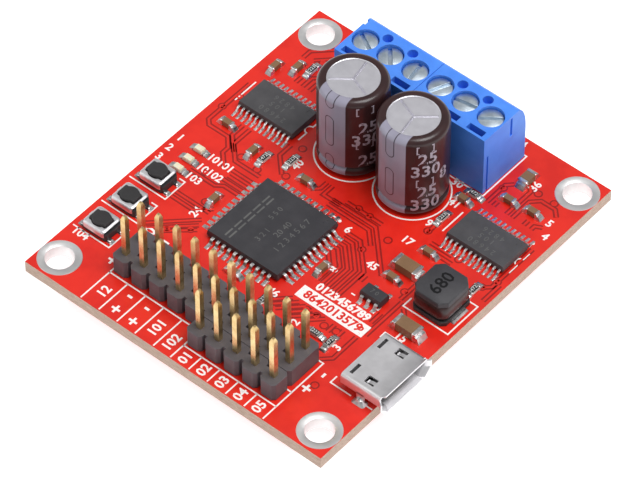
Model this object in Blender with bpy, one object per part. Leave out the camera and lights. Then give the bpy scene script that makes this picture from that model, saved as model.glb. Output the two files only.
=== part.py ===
# Two-channel motor driver board: a printed circuit board with a six-pole screw terminal,
# two pin headers, three push buttons, a micro USB socket and surface-mounted parts.
# The origin is the middle of the board on its underside. +X runs along the header edge,
# +Y from the headers to the screw terminal, and +Z up through the side with the parts.
# Lengths are in millimetres while a shape is drawn, and MM turns them into metres.

import math

import bmesh
import bpy
from mathutils import Vector

MM = 0.001
GAP = 0.03                      # air left between pieces that touch in the real assembly

# Board
BOARD_X = 41.4
BOARD_Y = 48.5
BOARD_T = 1.6
TOP = BOARD_T                   # height of the fitted face
TAIL = 1.5                      # reach of every solder tail below the underside
HOLE_R = 1.65
HOLE_AT = (BOARD_X / 2 - 2.5, BOARD_Y / 2 - 2.79)
PAD_R = 2.42                    # plated ring round each mounting hole, on the fitted face
PAD_RISE = 0.04

# Pin headers, on one 2.54 grid
PITCH = 2.54
HEADER_ORIGIN = (-11.77, -20.45)
PIN_HALF = 0.32
PIN_TIP = 8.45                  # above the fitted face
PIN_HOLE_R = 0.52
INSULATOR_H = 2.45
CELL_HALF = 1.07                # half width of each insulator cell along X
CELL_CUT = 0.36                 # chamfer of its outer corners
WEB_HALF = 0.5                  # half width of the web that joins it to the next cell

# Screw terminal, measured from each screw's axis
POLES = 6
POLE_PITCH = 3.5
FIRST_POLE = (-8.79, 17.98)
HOUSING_BACK = -3.23
HOUSING_FRONT = 3.97
HOUSING_H = 8.5
CHAMBER_X = 1.4
CHAMBER_Y = 1.6
CHAMBER_FLOOR = 0.6
CHAMBER_ROOF = 7.1
HEAD_SEAT = 7.5
HEAD_R = 1.42
HEAD_TOP = 8.2
SHANK_R = 0.98
SHANK_END = 4.15
CLAMP_LOW = 0.7                 # floor of the open clamp
CLAMP_H = 4.2
CLAMP_HALF = (1.33, 1.5)
ENTRY_HALF = 1.3                # wire entries through the front wall
ENTRY_SPAN = (0.9, 3.7)
CONTACT_SLOT = (1.1, -2.9)      # half width and rear wall of the slot that holds each contact
CONTACT_HALF = 0.8
CONTACT_TAIL_HALF = 0.4
PROBE_R = 0.6                   # round holes between the screws, none where the two halves meet
PROBE_Y = 1.7
KEY_SLOTS = ((1.22, 1.57, 5.5, 8.2), (-2.7, -2.4, -2.6, 5.5))   # end grooves: Y span, Z span
RAIL_SLOT = (1.7, 2.4)          # groove in the -X end: Y span
END_SLOT_DEPTH = 0.2
CONTACT_Y = (-2.75, -2.25)
CONTACT_BAR = (3.5, 4.0)
TERMINAL_HOLE_R = 0.56
SLOT_ANGLES = (-30, -49, -79, 66, 10, 37)

# Electrolytic capacitors
CAPACITORS = ((-4.1, 10.35), (4.3, 10.3))
CAN_R = 4.0
CAN_TOP = 12.0
CAN_FACE_R = 2.95               # bare metal inside the sleeve's rolled edge
SLEEVE_T = 0.12
LEAD_OFFSET = 1.75
LEAD_R = 0.3
LEAD_HOLE_R = 0.4

# Push buttons
BUTTON_X = -17.58
BUTTON_YS = (-15.40, -10.87, -6.34)
DOME_LOW = 0.45                 # rim of the spring dome under each plunger
COVER_TOP = 1.45
COVER_HALF = (1.6, 1.47)
COVER_SHEET = 0.14
PLUNGER_TOP = 1.78
STEM_HALF = (1.15, 0.72)
BOSS_R = 1.05
FLANGE_HALF = (1.25, 1.0)
FLANGE_SPAN = (0.99, 1.18)
BUTTON_HALF = (1.75, 1.3)
BUTTON_H = 1.0
SLIDE_GAP = 0.08                # air between the moving plunger and the cover

# Micro USB socket: the shell's back and mouth along X, and its middle along Y
USB_BACK = 16.3
USB_MOUTH = 21.5
USB_Y = -12.15
USB_TOP = 2.6
USB_HALF = (3.75, 2.75)         # half width at the roof and at the floor
USB_LIP = 0.6
USB_FLARE = 0.45
USB_WINDOWS = ((18.75, 19.95, 2.43, 0.45), (16.85, 17.25, 2.22, 0.75))   # X span, Y middle, Y half
SHEET = 0.25
PEG_X = 18.95
PEG_Y = 3.62
PEG_HALF = 0.5
TONGUE_HALF = 1.9
TONGUE_SPAN = (1.2, 1.75)

# Surface-mounted parts: middle of each body on the board
CONTROLLER = (-3.2, -4.08)
DRIVERS = ((-14.1, 9.5), (15.35, 9.5))
REGULATOR = (11.1, -4.17)
INDUCTOR = (16.98, -0.17)
BULK_CHIPS = ((11.27, 1.15), (16.62, -5.29))
LIGHTS_X = -16.92
LIGHTS_Y = (-0.27, -2.07, -3.79)
BULK_SIZE = (3.2, 1.6, 1.2)
BULK_END = 0.5                  # length of each tinned end
INDUCTOR_HALF = (2.3, 2.45)
INDUCTOR_CUT = 0.8              # chamfer of the octagon
WAIST_R = 1.5                   # core inside the winding
COIL_LOW = 1.0
COIL_HIGH = 2.7
INDUCTOR_TOP = 3.5

# Colour, roughness and metallic value of each finish
FINISHES = {
    "solder_mask": ((0.72, 0.03, 0.02), 0.35, 0.0),
    "header_plastic": ((0.05, 0.05, 0.06), 0.55, 0.0),
    "terminal_plastic": ((0.06, 0.20, 0.75), 0.40, 0.0),
    "zinc_plate": ((0.72, 0.72, 0.70), 0.28, 1.0),
    "tinned_brass": ((0.66, 0.63, 0.55), 0.35, 1.0),
    "capacitor_film": ((0.11, 0.03, 0.025), 0.30, 0.0),
    "aluminium": ((0.74, 0.74, 0.75), 0.30, 1.0),
    "rubber": ((0.02, 0.02, 0.02), 0.80, 0.0),
    "black_plastic": ((0.025, 0.025, 0.028), 0.45, 0.0),
    "bright_steel": ((0.70, 0.70, 0.70), 0.22, 1.0),
    "chip_black": ((0.03, 0.03, 0.033), 0.50, 0.0),
    "ferrite": ((0.06, 0.06, 0.065), 0.65, 0.0),
    "coated_wire": ((0.10, 0.015, 0.015), 0.45, 0.0),
    "ceramic_tan": ((0.35, 0.20, 0.10), 0.50, 0.0),
    "lens_cream": ((0.80, 0.74, 0.56), 0.35, 0.0),
}


def fresh_start():
    for obj in list(bpy.data.objects):
        bpy.data.objects.remove(obj)


# ---- outlines: lists of points, counter-clockwise as seen from above

def circle(radius, z, sides, centre=(0.0, 0.0)):
    step = 2 * math.pi / sides
    return [Vector((centre[0] + radius * math.cos((i + 0.5) * step),
                    centre[1] + radius * math.sin((i + 0.5) * step), z)) for i in range(sides)]


def rectangle(half_x, half_y, z, centre=(0.0, 0.0)):
    corners = ((-1, -1), (1, -1), (1, 1), (-1, 1))
    return [Vector((centre[0] + sx * half_x, centre[1] + sy * half_y, z)) for sx, sy in corners]


def cut_rectangle(half_x, half_y, cut, z, centre=(0.0, 0.0)):
    corners = ((-1, -1, 0, 1), (1, -1, 1, 0), (1, 1, 0, 1), (-1, 1, 1, 0))
    points = []
    for sx, sy, first_x, first_y in corners:
        near_x = Vector((centre[0] + sx * half_x, centre[1] + sy * (half_y - cut), z))
        near_y = Vector((centre[0] + sx * (half_x - cut), centre[1] + sy * half_y, z))
        points += [near_x, near_y] if first_y else [near_y, near_x]
    return points


def side_view(points, x):
    return [Vector((x, y, z)) for y, z in points]


# ---- closed shapes

def loft(shape, rings, closed=False):
    rows = [[shape.verts.new(point) for point in ring] for ring in rings]
    pairs = list(zip(rows, rows[1:]))
    if closed:
        pairs.append((rows[-1], rows[0]))
    for first, second in pairs:
        for i in range(len(first)):
            j = (i + 1) % len(first)
            shape.faces.new((first[i], first[j], second[j], second[i]))
    if not closed:
        shape.faces.new(rows[0][::-1])
        shape.faces.new(rows[-1])
    return shape


def box(shape, low, high):
    middle = ((low[0] + high[0]) / 2, (low[1] + high[1]) / 2)
    half = ((high[0] - low[0]) / 2, (high[1] - low[1]) / 2)
    rings = [rectangle(half[0], half[1], z, middle) for z in (low[2], high[2])]
    return loft(shape, rings)


def rod(shape, radius, low, high, sides, centre=(0.0, 0.0)):
    return loft(shape, [circle(radius, z, sides, centre) for z in (low, high)])


def combine(body, tool, operation):
    parts = []
    for shape in (body, tool):
        bmesh.ops.recalc_face_normals(shape, faces=shape.faces)
        mesh = bpy.data.meshes.new("working")
        shape.to_mesh(mesh)
        shape.free()
        parts.append(bpy.data.objects.new("working", mesh))
        bpy.context.scene.collection.objects.link(parts[-1])
    modifier = parts[0].modifiers.new("combine", "BOOLEAN")
    modifier.solver = "EXACT"
    modifier.use_self = True
    modifier.operation = operation
    modifier.object = parts[1]
    graph = bpy.context.evaluated_depsgraph_get()
    result = bmesh.new()
    result.from_mesh(parts[0].evaluated_get(graph).to_mesh())
    for obj in parts:
        mesh = obj.data
        bpy.data.objects.remove(obj)
        bpy.data.meshes.remove(mesh)
    bmesh.ops.dissolve_limit(result, angle_limit=math.radians(0.05), verts=result.verts,
                             edges=result.edges)
    return result


def finish_mesh(name, shape, smooth=False):
    bmesh.ops.recalc_face_normals(shape, faces=shape.faces)
    bmesh.ops.scale(shape, vec=Vector((MM, MM, MM)), verts=shape.verts)
    mesh = bpy.data.meshes.new(name)
    shape.to_mesh(mesh)
    shape.free()
    if smooth:
        mesh.shade_smooth()
        mesh.set_sharp_from_angle(angle=math.radians(35))
    return mesh


def place(name, mesh, finish, at=(0.0, 0.0, 0.0), turn=0.0):
    colour, roughness, metallic = FINISHES[finish]
    material = bpy.data.materials.new(name + "_" + finish)
    material.use_nodes = True
    surface = material.node_tree.nodes["Principled BSDF"]
    surface.inputs["Base Color"].default_value = (*colour, 1.0)
    surface.inputs["Roughness"].default_value = roughness
    surface.inputs["Metallic"].default_value = metallic
    obj = bpy.data.objects.new(name, mesh)
    if not mesh.materials:
        mesh.materials.append(None)
    obj.material_slots[0].link = "OBJECT"
    obj.material_slots[0].material = material
    obj.location = Vector(at) * MM
    obj.rotation_euler = (0.0, 0.0, math.radians(turn))
    bpy.context.scene.collection.objects.link(obj)
    return obj


def pole_centre(index):
    return (FIRST_POLE[0] + index * POLE_PITCH, FIRST_POLE[1])


def header_spot(column, row):
    return (HEADER_ORIGIN[0] + column * PITCH, HEADER_ORIGIN[1] + row * PITCH)


# ---- board

def build_board():
    board = loft(bmesh.new(), [rectangle(BOARD_X / 2, BOARD_Y / 2, z) for z in (0.0, TOP)])
    pads = bmesh.new()
    holes = bmesh.new()
    low, high = -1.0, TOP + 1.0
    for sx in (-1, 1):
        for sy in (-1, 1):
            spot = (sx * HOLE_AT[0], sy * HOLE_AT[1])
            rod(pads, PAD_R, TOP / 2, TOP + PAD_RISE, 32, spot)
            rod(holes, HOLE_R, low, high, 32, spot)
    board = combine(board, pads, "UNION")
    for column in range(10):
        for row in range(3):
            if row > 0 or column > 4:
                rod(holes, PIN_HOLE_R, low, high, 8, header_spot(column, row))
    for index in range(POLES):
        x, y = pole_centre(index)
        rod(holes, TERMINAL_HOLE_R, low, high, 8, (x, y + sum(CONTACT_Y) / 2))
    for x, y in CAPACITORS:
        for side in (-1, 1):
            rod(holes, LEAD_HOLE_R, low, high, 8, (x, y + side * LEAD_OFFSET))
    for side in (-1, 1):
        middle = (PEG_X, USB_Y + side * PEG_Y)
        loft(holes, [cut_rectangle(0.7, 0.35, 0.15, z, middle) for z in (low, high)])
    place("pcb", finish_mesh("pcb", combine(board, holes, "DIFFERENCE")), "solder_mask")


# ---- pin headers

def insulator_outline(columns, rows):
    edge = (PITCH - GAP) / 2
    front = []
    for column in range(columns):
        left, right = column * PITCH - CELL_HALF, column * PITCH + CELL_HALF
        if column > 0:
            front.append((left, -WEB_HALF))
        front += [(left, CELL_CUT - edge), (left + CELL_CUT, -edge),
                  (right - CELL_CUT, -edge), (right, CELL_CUT - edge)]
        if column < columns - 1:
            front.append((right, -WEB_HALF))
    rear = [(x, (rows - 1) * PITCH - y) for x, y in reversed(front)]
    return front + rear


def build_header(name, column, row, columns, rows):
    outline = insulator_outline(columns, rows)
    low, high = TOP + GAP, TOP + INSULATOR_H
    block = loft(bmesh.new(), [[Vector((*point, z)) for point in outline] for z in (low, high)])
    if rows > 1:
        slots = bmesh.new()
        for i in range(columns - 1):
            box(slots, (i * PITCH + CELL_HALF, WEB_HALF, low - 1),
                ((i + 1) * PITCH - CELL_HALF, PITCH - WEB_HALF, high + 1))
        block = combine(block, slots, "DIFFERENCE")
    pins = bmesh.new()
    tip = TOP + PIN_TIP
    for i in range(columns):
        for j in range(rows):
            spot = (i * PITCH, j * PITCH)
            stations = ((0.16, -TAIL), (PIN_HALF, 0.5 - TAIL), (PIN_HALF, tip - 0.55), (0.12, tip))
            loft(pins, [rectangle(half, half, z, spot) for half, z in stations])
    mesh = finish_mesh(name, combine(block, pins, "UNION"))
    x, y = header_spot(column, row)
    place(name, mesh, "header_plastic", (x, y, 0.0))


# ---- screw terminal

def build_terminal_housing():
    front = [(HOUSING_FRONT, GAP), (HOUSING_FRONT, 5.0), (3.85, 6.4), (3.45, 7.6), (2.72, HOUSING_H)]
    section = [(HOUSING_BACK, GAP)] + front + [(HOUSING_BACK, HOUSING_H)]
    section = [(y, TOP + h) for y, h in section]
    end_low = -POLE_PITCH / 2
    end_high = (POLES - 0.5) * POLE_PITCH
    housing = loft(bmesh.new(), [side_view(section, x) for x in (end_low, end_high)])
    cuts = bmesh.new()
    above = TOP + HOUSING_H + 1
    for index in range(POLES):
        x = index * POLE_PITCH
        box(cuts, (x - CHAMBER_X, -CHAMBER_Y, TOP + CHAMBER_FLOOR),
            (x + CHAMBER_X, CHAMBER_Y, TOP + CHAMBER_ROOF))
        box(cuts, (x - ENTRY_HALF, CHAMBER_Y - 0.6, TOP + ENTRY_SPAN[0]),
            (x + ENTRY_HALF, HOUSING_FRONT + 1, TOP + ENTRY_SPAN[1]))
        half, rear = CONTACT_SLOT
        box(cuts, (x - half, rear, TOP - 1.0), (x + half, 0.4 - CHAMBER_Y, TOP + CONTACT_BAR[1] + 0.4))
        box(cuts, (x - half, rear, TOP + CONTACT_BAR[1]), (x + half, CONTACT_Y[1] + 0.15, above))
        rod(cuts, SHANK_R + 0.14, TOP + CHAMBER_ROOF - 0.6, TOP + HEAD_SEAT + 0.5, 16, (x, 0.0))
        rod(cuts, HEAD_R + 0.08, TOP + HEAD_SEAT, above, 24, (x, 0.0))
        if index not in (POLES // 2 - 1, POLES - 1):
            rod(cuts, PROBE_R, TOP + HEAD_SEAT - 0.1, above, 10, (x + POLE_PITCH / 2, PROBE_Y))
    for y_low, y_high, z_low, z_high in KEY_SLOTS:
        box(cuts, (end_high - END_SLOT_DEPTH, y_low, TOP + z_low), (end_high + 1, y_high, TOP + z_high))
    box(cuts, (end_low - 1, RAIL_SLOT[0], TOP - 1.0), (end_low + END_SLOT_DEPTH, RAIL_SLOT[1], above))
    mesh = finish_mesh("terminal_housing", combine(housing, cuts, "DIFFERENCE"))
    place("terminal_housing", mesh, "terminal_plastic", (*FIRST_POLE, 0.0))


def terminal_screw_mesh():
    stations = ((SHANK_R - 0.15, SHANK_END), (SHANK_R, SHANK_END + 0.2), (SHANK_R, HEAD_SEAT + GAP),
                (HEAD_R, HEAD_SEAT + GAP), (HEAD_R, HEAD_TOP - 0.12), (HEAD_R - 0.12, HEAD_TOP))
    screw = loft(bmesh.new(), [circle(radius, TOP + z, 20) for radius, z in stations])
    slot = box(bmesh.new(), (-HEAD_R - 0.5, -0.24, TOP + HEAD_TOP - 0.45),
               (HEAD_R + 0.5, 0.24, TOP + HEAD_TOP + 1))
    return finish_mesh("terminal_screw", combine(screw, slot, "DIFFERENCE"), smooth=True)


def terminal_clamp_mesh():
    low = TOP + CLAMP_LOW
    high = low + CLAMP_H
    half_x, half_y = CLAMP_HALF
    cage = box(bmesh.new(), (-half_x, -half_y, low), (half_x, half_y, high))
    window = box(bmesh.new(), (-1.0, -2.5, low + 0.5), (1.0, 2.5, high - 0.8))
    cage = combine(cage, window, "DIFFERENCE")
    thread = rod(bmesh.new(), SHANK_R + 0.08, high - 1.5, high + 1.0, 16)
    return finish_mesh("terminal_clamp", combine(cage, thread, "DIFFERENCE"))


def terminal_contact_mesh():
    back, front = CONTACT_Y
    bar_low, bar_high = (TOP + z for z in CONTACT_BAR)
    outline = [(back, TOP + 0.1), (front, TOP + 0.1), (front, bar_low), (1.3, bar_low),
               (1.3, bar_high), (back, bar_high)]
    contact = loft(bmesh.new(), [side_view(outline, x) for x in (-CONTACT_HALF, CONTACT_HALF)])
    pin = box(bmesh.new(), (-CONTACT_TAIL_HALF, back, -TAIL), (CONTACT_TAIL_HALF, front, TOP + 0.5))
    return finish_mesh("terminal_contact", combine(contact, pin, "UNION"))


def build_terminal():
    build_terminal_housing()
    screw, clamp, contact = terminal_screw_mesh(), terminal_clamp_mesh(), terminal_contact_mesh()
    for index in range(POLES):
        spot = (*pole_centre(index), 0.0)
        number = str(index + 1)
        place("terminal_screw_" + number, screw, "zinc_plate", spot, SLOT_ANGLES[index])
        place("terminal_clamp_" + number, clamp, "zinc_plate", spot)
        place("terminal_contact_" + number, contact, "tinned_brass", spot)


# ---- electrolytic capacitors

def build_capacitors():
    sides = 28
    inner = CAN_R - SLEEVE_T
    film = ((inner, 0.62), (3.7, 0.62), (3.7, 0.5), (CAN_R - 0.15, 0.5), (CAN_R, 0.75), (CAN_R, 1.4),
            (CAN_R - 0.25, 1.65), (CAN_R, 1.9), (CAN_R, CAN_TOP - 0.75), (3.85, CAN_TOP - 0.32),
            (3.55, CAN_TOP - 0.08), (3.2, CAN_TOP), (CAN_FACE_R, CAN_TOP - 0.02),
            (CAN_FACE_R, CAN_TOP - 0.12), (3.2, CAN_TOP - 0.1), (3.5, CAN_TOP - 0.18),
            (3.75, CAN_TOP - 0.4), (inner, CAN_TOP - 0.78), (inner, 2.0), (inner - 0.25, 1.65), (inner, 1.3))
    sleeve_shape = loft(bmesh.new(), [circle(r, TOP + z, sides) for r, z in film], closed=True)
    sleeve = finish_mesh("capacitor_sleeve", sleeve_shape, smooth=True)
    wall = inner - GAP
    metal = ((3.3, 2.2), (3.3, 0.68), (wall - 0.1, 0.68), (wall, 0.8), (wall, 1.25),
             (wall - 0.25, 1.6), (wall - 0.25, 1.7), (wall, 2.05), (wall, CAN_TOP - 0.82),
             (3.7, CAN_TOP - 0.45), (3.45, CAN_TOP - 0.24), (CAN_FACE_R, CAN_TOP - 0.15),
             (CAN_FACE_R - 0.15, CAN_TOP - 0.2))
    can_shape = loft(bmesh.new(), [circle(r, TOP + z, sides) for r, z in metal])
    can = finish_mesh("capacitor_can", can_shape, smooth=True)
    bung = rod(bmesh.new(), 3.24, TOP + 0.35, TOP + 2.1, 20)
    leads = bmesh.new()
    for side in (-1, 1):
        rod(leads, LEAD_R, -TAIL, TOP + 1.0, 8, (0.0, side * LEAD_OFFSET))
    seal = finish_mesh("capacitor_seal", combine(bung, leads, "UNION"), smooth=True)
    for number, spot in zip("12", CAPACITORS):
        at = (*spot, 0.0)
        place("capacitor_sleeve_" + number, sleeve, "capacitor_film", at)
        place("capacitor_can_" + number, can, "aluminium", at)
        place("capacitor_seal_" + number, seal, "rubber", at)


# ---- push buttons

def button_base_mesh():
    base = loft(bmesh.new(), [cut_rectangle(*BUTTON_HALF, 0.2, TOP + z) for z in (GAP, BUTTON_H)])
    legs = bmesh.new()
    for sx in (-1, 1):
        for sy in (-1, 1):
            low = (min(sx * 1.5, sx * 2.1), sy * 0.85 - 0.3, TOP + GAP)
            box(legs, low, (low[0] + 0.6, low[1] + 0.6, TOP + 0.18))
    base = combine(base, legs, "UNION")
    half_x, half_y = (half + 0.07 for half in FLANGE_HALF)
    pocket = box(bmesh.new(), (-half_x, -half_y, TOP + 0.68), (half_x, half_y, TOP + 2.0))
    base = combine(base, pocket, "DIFFERENCE")
    well = rod(bmesh.new(), 1.0, TOP + DOME_LOW - GAP, TOP + 1.5, 16)
    return finish_mesh("button_base", combine(base, well, "DIFFERENCE"))


def button_dome_mesh():
    rim, crown, sheet = 0.95, 0.5, 0.07
    low = TOP + DOME_LOW
    steps = 3
    outer = [(rim * math.cos(k * math.pi / 2 / (steps + 1)), crown * math.sin(k * math.pi / 2 / (steps + 1)))
             for k in range(steps + 1)]
    rings = [circle(r - sheet, low + max(z - sheet, 0.0), 16) for r, z in reversed(outer)]
    rings += [circle(r, low + z, 16) for r, z in outer]
    return finish_mesh("button_dome", loft(bmesh.new(), rings), smooth=True)


def button_plunger_mesh():
    flange = loft(bmesh.new(), [rectangle(*FLANGE_HALF, TOP + z) for z in FLANGE_SPAN])
    stem = loft(bmesh.new(), [rectangle(*STEM_HALF, TOP + z) for z in (1.1, PLUNGER_TOP)])
    boss = rod(bmesh.new(), BOSS_R, TOP + 1.1, TOP + PLUNGER_TOP, 20)
    plunger = combine(flange, stem, "UNION")
    return finish_mesh("button_plunger", combine(plunger, boss, "UNION"))


def button_cover_mesh():
    low = COVER_TOP - 0.85
    half_x, half_y = COVER_HALF
    inner = COVER_TOP - COVER_SHEET
    stations = ((0.0, low), (0.0, inner), (COVER_SHEET, COVER_TOP))
    outer = [cut_rectangle(half_x - inset, half_y - inset, 0.35, TOP + z) for inset, z in stations]
    cover = loft(bmesh.new(), outer)
    hollow = loft(bmesh.new(), [rectangle(half_x + 1, half_y - COVER_SHEET, TOP + z) for z in (0.0, inner)])
    cover = combine(cover, hollow, "DIFFERENCE")
    mouth_x, mouth_y = (half + SLIDE_GAP for half in STEM_HALF)
    mouth = loft(bmesh.new(), [rectangle(mouth_x, mouth_y, TOP + z) for z in (1.0, 2.0)])
    cover = combine(cover, mouth, "DIFFERENCE")
    ring = rod(bmesh.new(), BOSS_R + SLIDE_GAP, TOP + 1.0, TOP + 2.0, 20)
    return finish_mesh("button_cover", combine(cover, ring, "DIFFERENCE"), smooth=True)


def build_buttons():
    pieces = (("base", button_base_mesh(), "black_plastic"), ("dome", button_dome_mesh(), "bright_steel"),
              ("plunger", button_plunger_mesh(), "black_plastic"), ("cover", button_cover_mesh(), "bright_steel"))
    for number, y in zip("123", BUTTON_YS):
        for part, mesh, finish in pieces:
            place("button_" + part + "_" + number, mesh, finish, (BUTTON_X, y, 0.0))


# ---- micro USB socket

def usb_section(inset, x, flare=0.0):
    wide = USB_HALF[0] - inset + flare
    narrow = USB_HALF[1] - 0.6 * inset + flare
    roof = USB_TOP - inset + flare
    floor = 0.15 + inset - min(flare, 0.1)
    points = [(-narrow, floor), (narrow, floor), (wide, 1.2 + 0.2 * inset), (wide, roof - 0.3),
              (wide - 0.3, roof), (-wide + 0.3, roof), (-wide, roof - 0.3), (-wide, 1.2 + 0.2 * inset)]
    return side_view([(y, TOP + h) for y, h in points], x)


def build_usb_socket():
    front = USB_MOUTH + USB_LIP
    rings = [usb_section(SHEET, USB_BACK + SHEET), usb_section(SHEET, USB_MOUTH),
             usb_section(SHEET, front, USB_FLARE), usb_section(0.0, front, USB_FLARE),
             usb_section(0.0, USB_MOUTH), usb_section(0.0, USB_BACK)]
    shell = loft(bmesh.new(), rings)
    pegs = bmesh.new()
    for side in (-1, 1):
        middle = side * (USB_HALF[0] - SHEET / 2)
        box(pegs, (PEG_X - PEG_HALF, middle - 0.11, 0.2), (PEG_X + PEG_HALF, middle + 0.11, TOP + 1.6))
    shell = combine(shell, pegs, "UNION")
    windows = bmesh.new()
    for side in (-1, 1):
        for x_low, x_high, middle, half in USB_WINDOWS:
            box(windows, (x_low, side * middle - half, TOP + 2.0), (x_high, side * middle + half, TOP + 3.5))
        for height in (0.0, USB_TOP):
            loft(windows, [rectangle(0.8, 0.25, TOP + z, (USB_MOUTH + 0.85, side * 3.5))
                           for z in (height - 0.8, height + 0.8)])
    shell = combine(shell, windows, "DIFFERENCE")
    place("usb_shell", finish_mesh("usb_shell", shell, smooth=True), "bright_steel", (0.0, USB_Y, 0.0))
    start = USB_BACK + SHEET + GAP
    inset = SHEET + GAP
    core = loft(bmesh.new(), [usb_section(inset, start), usb_section(inset, start + 1.6)])
    low, high = (TOP + z for z in TONGUE_SPAN)
    tongue = box(bmesh.new(), (start + 1.0, -TONGUE_HALF, low), (USB_MOUTH - 0.4, TONGUE_HALF, high))
    insulator = finish_mesh("usb_insulator", combine(core, tongue, "UNION"))
    place("usb_insulator", insulator, "black_plastic", (0.0, USB_Y, 0.0))


# ---- packages with leads

def lead(shape, centre, along, reach, half_width, mid, foot):
    side = Vector((-along.y, along.x, 0.0))
    thick = 0.07
    path = ((-0.25, mid), (0.3 * reach, mid), (reach, foot))
    rings = []
    for distance, height in path:
        middle = centre + along * distance
        corners = ((-half_width, -thick), (half_width, -thick), (half_width, thick), (-half_width, thick))
        rings.append([middle + side * across + Vector((0, 0, height + up)) for across, up in corners])
    loft(shape, rings)


def package(name, spot, half_x, half_y, low, high, sides, finish="chip_black"):
    middle = (low + high) / 2
    draft = 0.08
    stations = ((draft, low), (0.0, middle - 0.06), (0.0, middle + 0.06), (draft, high))
    body = loft(bmesh.new(), [rectangle(half_x - inset, half_y - inset, TOP + z) for inset, z in stations])
    legs = bmesh.new()
    foot = TOP + 0.07 + GAP
    for along, count, pitch, reach, half_width in sides:
        along = Vector((*along, 0.0))
        edge = abs(along.x) * half_x + abs(along.y) * half_y
        for index in range(count):
            offset = (index - (count - 1) / 2) * pitch
            centre = along * edge + Vector((along.y, along.x, 0.0)) * offset
            lead(legs, centre, along, reach, half_width, TOP + middle, foot)
    mesh = finish_mesh(name, combine(body, legs, "UNION"))
    place(name, mesh, finish, (*spot, 0.0))


def build_packages():
    around = [((1, 0), 11, 0.8, 1.0, 0.18), ((-1, 0), 11, 0.8, 1.0, 0.18),
              ((0, 1), 11, 0.8, 1.0, 0.18), ((0, -1), 11, 0.8, 1.0, 0.18)]
    package("controller_chip", CONTROLLER, 5.0, 5.0, 0.12, 1.12, around)
    both = [((0, 1), 12, 0.65, 1.0, 0.12), ((0, -1), 12, 0.65, 1.0, 0.12)]
    for number, spot in zip("12", DRIVERS):
        package("driver_chip_" + number, spot, 3.9, 2.2, 0.12, 1.05, both)
    five = [((0, -1), 3, 0.95, 0.6, 0.2), ((0, 1), 2, 1.9, 0.6, 0.2)]
    package("regulator_chip", REGULATOR, 1.45, 0.8, 0.1, 1.15, five)


# ---- small parts

def octagon(half, cut_reach, z):
    return cut_rectangle(half, half, half - cut_reach * math.tan(math.radians(22.5)), z)


def build_inductor():
    half_x, half_y = INDUCTOR_HALF
    x, y = INDUCTOR
    base = loft(bmesh.new(), [cut_rectangle(half_x, half_y, 0.5, TOP + z) for z in (GAP, 0.6)])
    place("inductor_base", finish_mesh("inductor_base", base), "black_plastic", (x, y, 0.0))
    stations = ((0.25, 0.6 + GAP), (0.15, COIL_LOW))
    rings = [cut_rectangle(half_x - i, half_y - i, INDUCTOR_CUT, TOP + z) for i, z in stations]
    rings += [octagon(WAIST_R, WAIST_R - 0.3, TOP + z) for z in (COIL_LOW, COIL_HIGH)]
    stations = ((0.0, COIL_HIGH), (0.0, INDUCTOR_TOP - 0.1), (0.1, INDUCTOR_TOP))
    rings += [cut_rectangle(half_x - i, half_y - i, INDUCTOR_CUT, TOP + z) for i, z in stations]
    core = loft(bmesh.new(), rings)
    place("inductor_core", finish_mesh("inductor_core", core), "ferrite", (x, y, 0.0))
    low, high = TOP + COIL_LOW + GAP, TOP + COIL_HIGH - GAP
    hole = WAIST_R + 0.05
    inner = [octagon(hole, hole - 0.3, z) for z in (high, low)]
    outer = [cut_rectangle(half_x - 0.2, half_y - 0.2, INDUCTOR_CUT, z) for z in (low, high)]
    winding = loft(bmesh.new(), inner + outer, closed=True)
    place("inductor_winding", finish_mesh("inductor_winding", winding), "coated_wire", (x, y, 0.0))


def chip_mesh(name, length, width, height, end):
    low = TOP + GAP
    step = 0.05
    rings = []
    for x, inset in ((-length / 2, 0.0), (end - length / 2, 0.0), (end - length / 2, step),
                     (length / 2 - end, step), (length / 2 - end, 0.0), (length / 2, 0.0)):
        half = width / 2 - inset
        outline = [(-half, low + inset), (half, low + inset),
                   (half, low + height - inset), (-half, low + height - inset)]
        rings.append(side_view(outline, x))
    return finish_mesh(name, loft(bmesh.new(), rings))


def build_small_parts():
    bulk = chip_mesh("bulk_chip", *BULK_SIZE, BULK_END)
    for number, spot in zip("12", BULK_CHIPS):
        place("bulk_chip_capacitor_" + number, bulk, "ceramic_tan", (*spot, 0.0))
    stations = ((0.8, 0.4, GAP), (0.8, 0.4, 0.3), (0.55, 0.4, 0.3), (0.5, 0.34, 0.6))
    light_shape = loft(bmesh.new(), [rectangle(hx, hy, TOP + z) for hx, hy, z in stations])
    light = finish_mesh("indicator_light", light_shape)
    for number, y in zip("123", LIGHTS_Y):
        place("indicator_light_" + number, light, "lens_cream", (LIGHTS_X, y, 0.0))


fresh_start()
build_board()
build_header("header_2x10", 0, 1, 10, 2)
build_header("header_1x5", 5, 0, 5, 1)
build_terminal()
build_capacitors()
build_buttons()
build_usb_socket()
build_packages()
build_inductor()
build_small_parts()
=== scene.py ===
import math
import random

import bmesh
import bpy
from mathutils import Matrix, Vector


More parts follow.
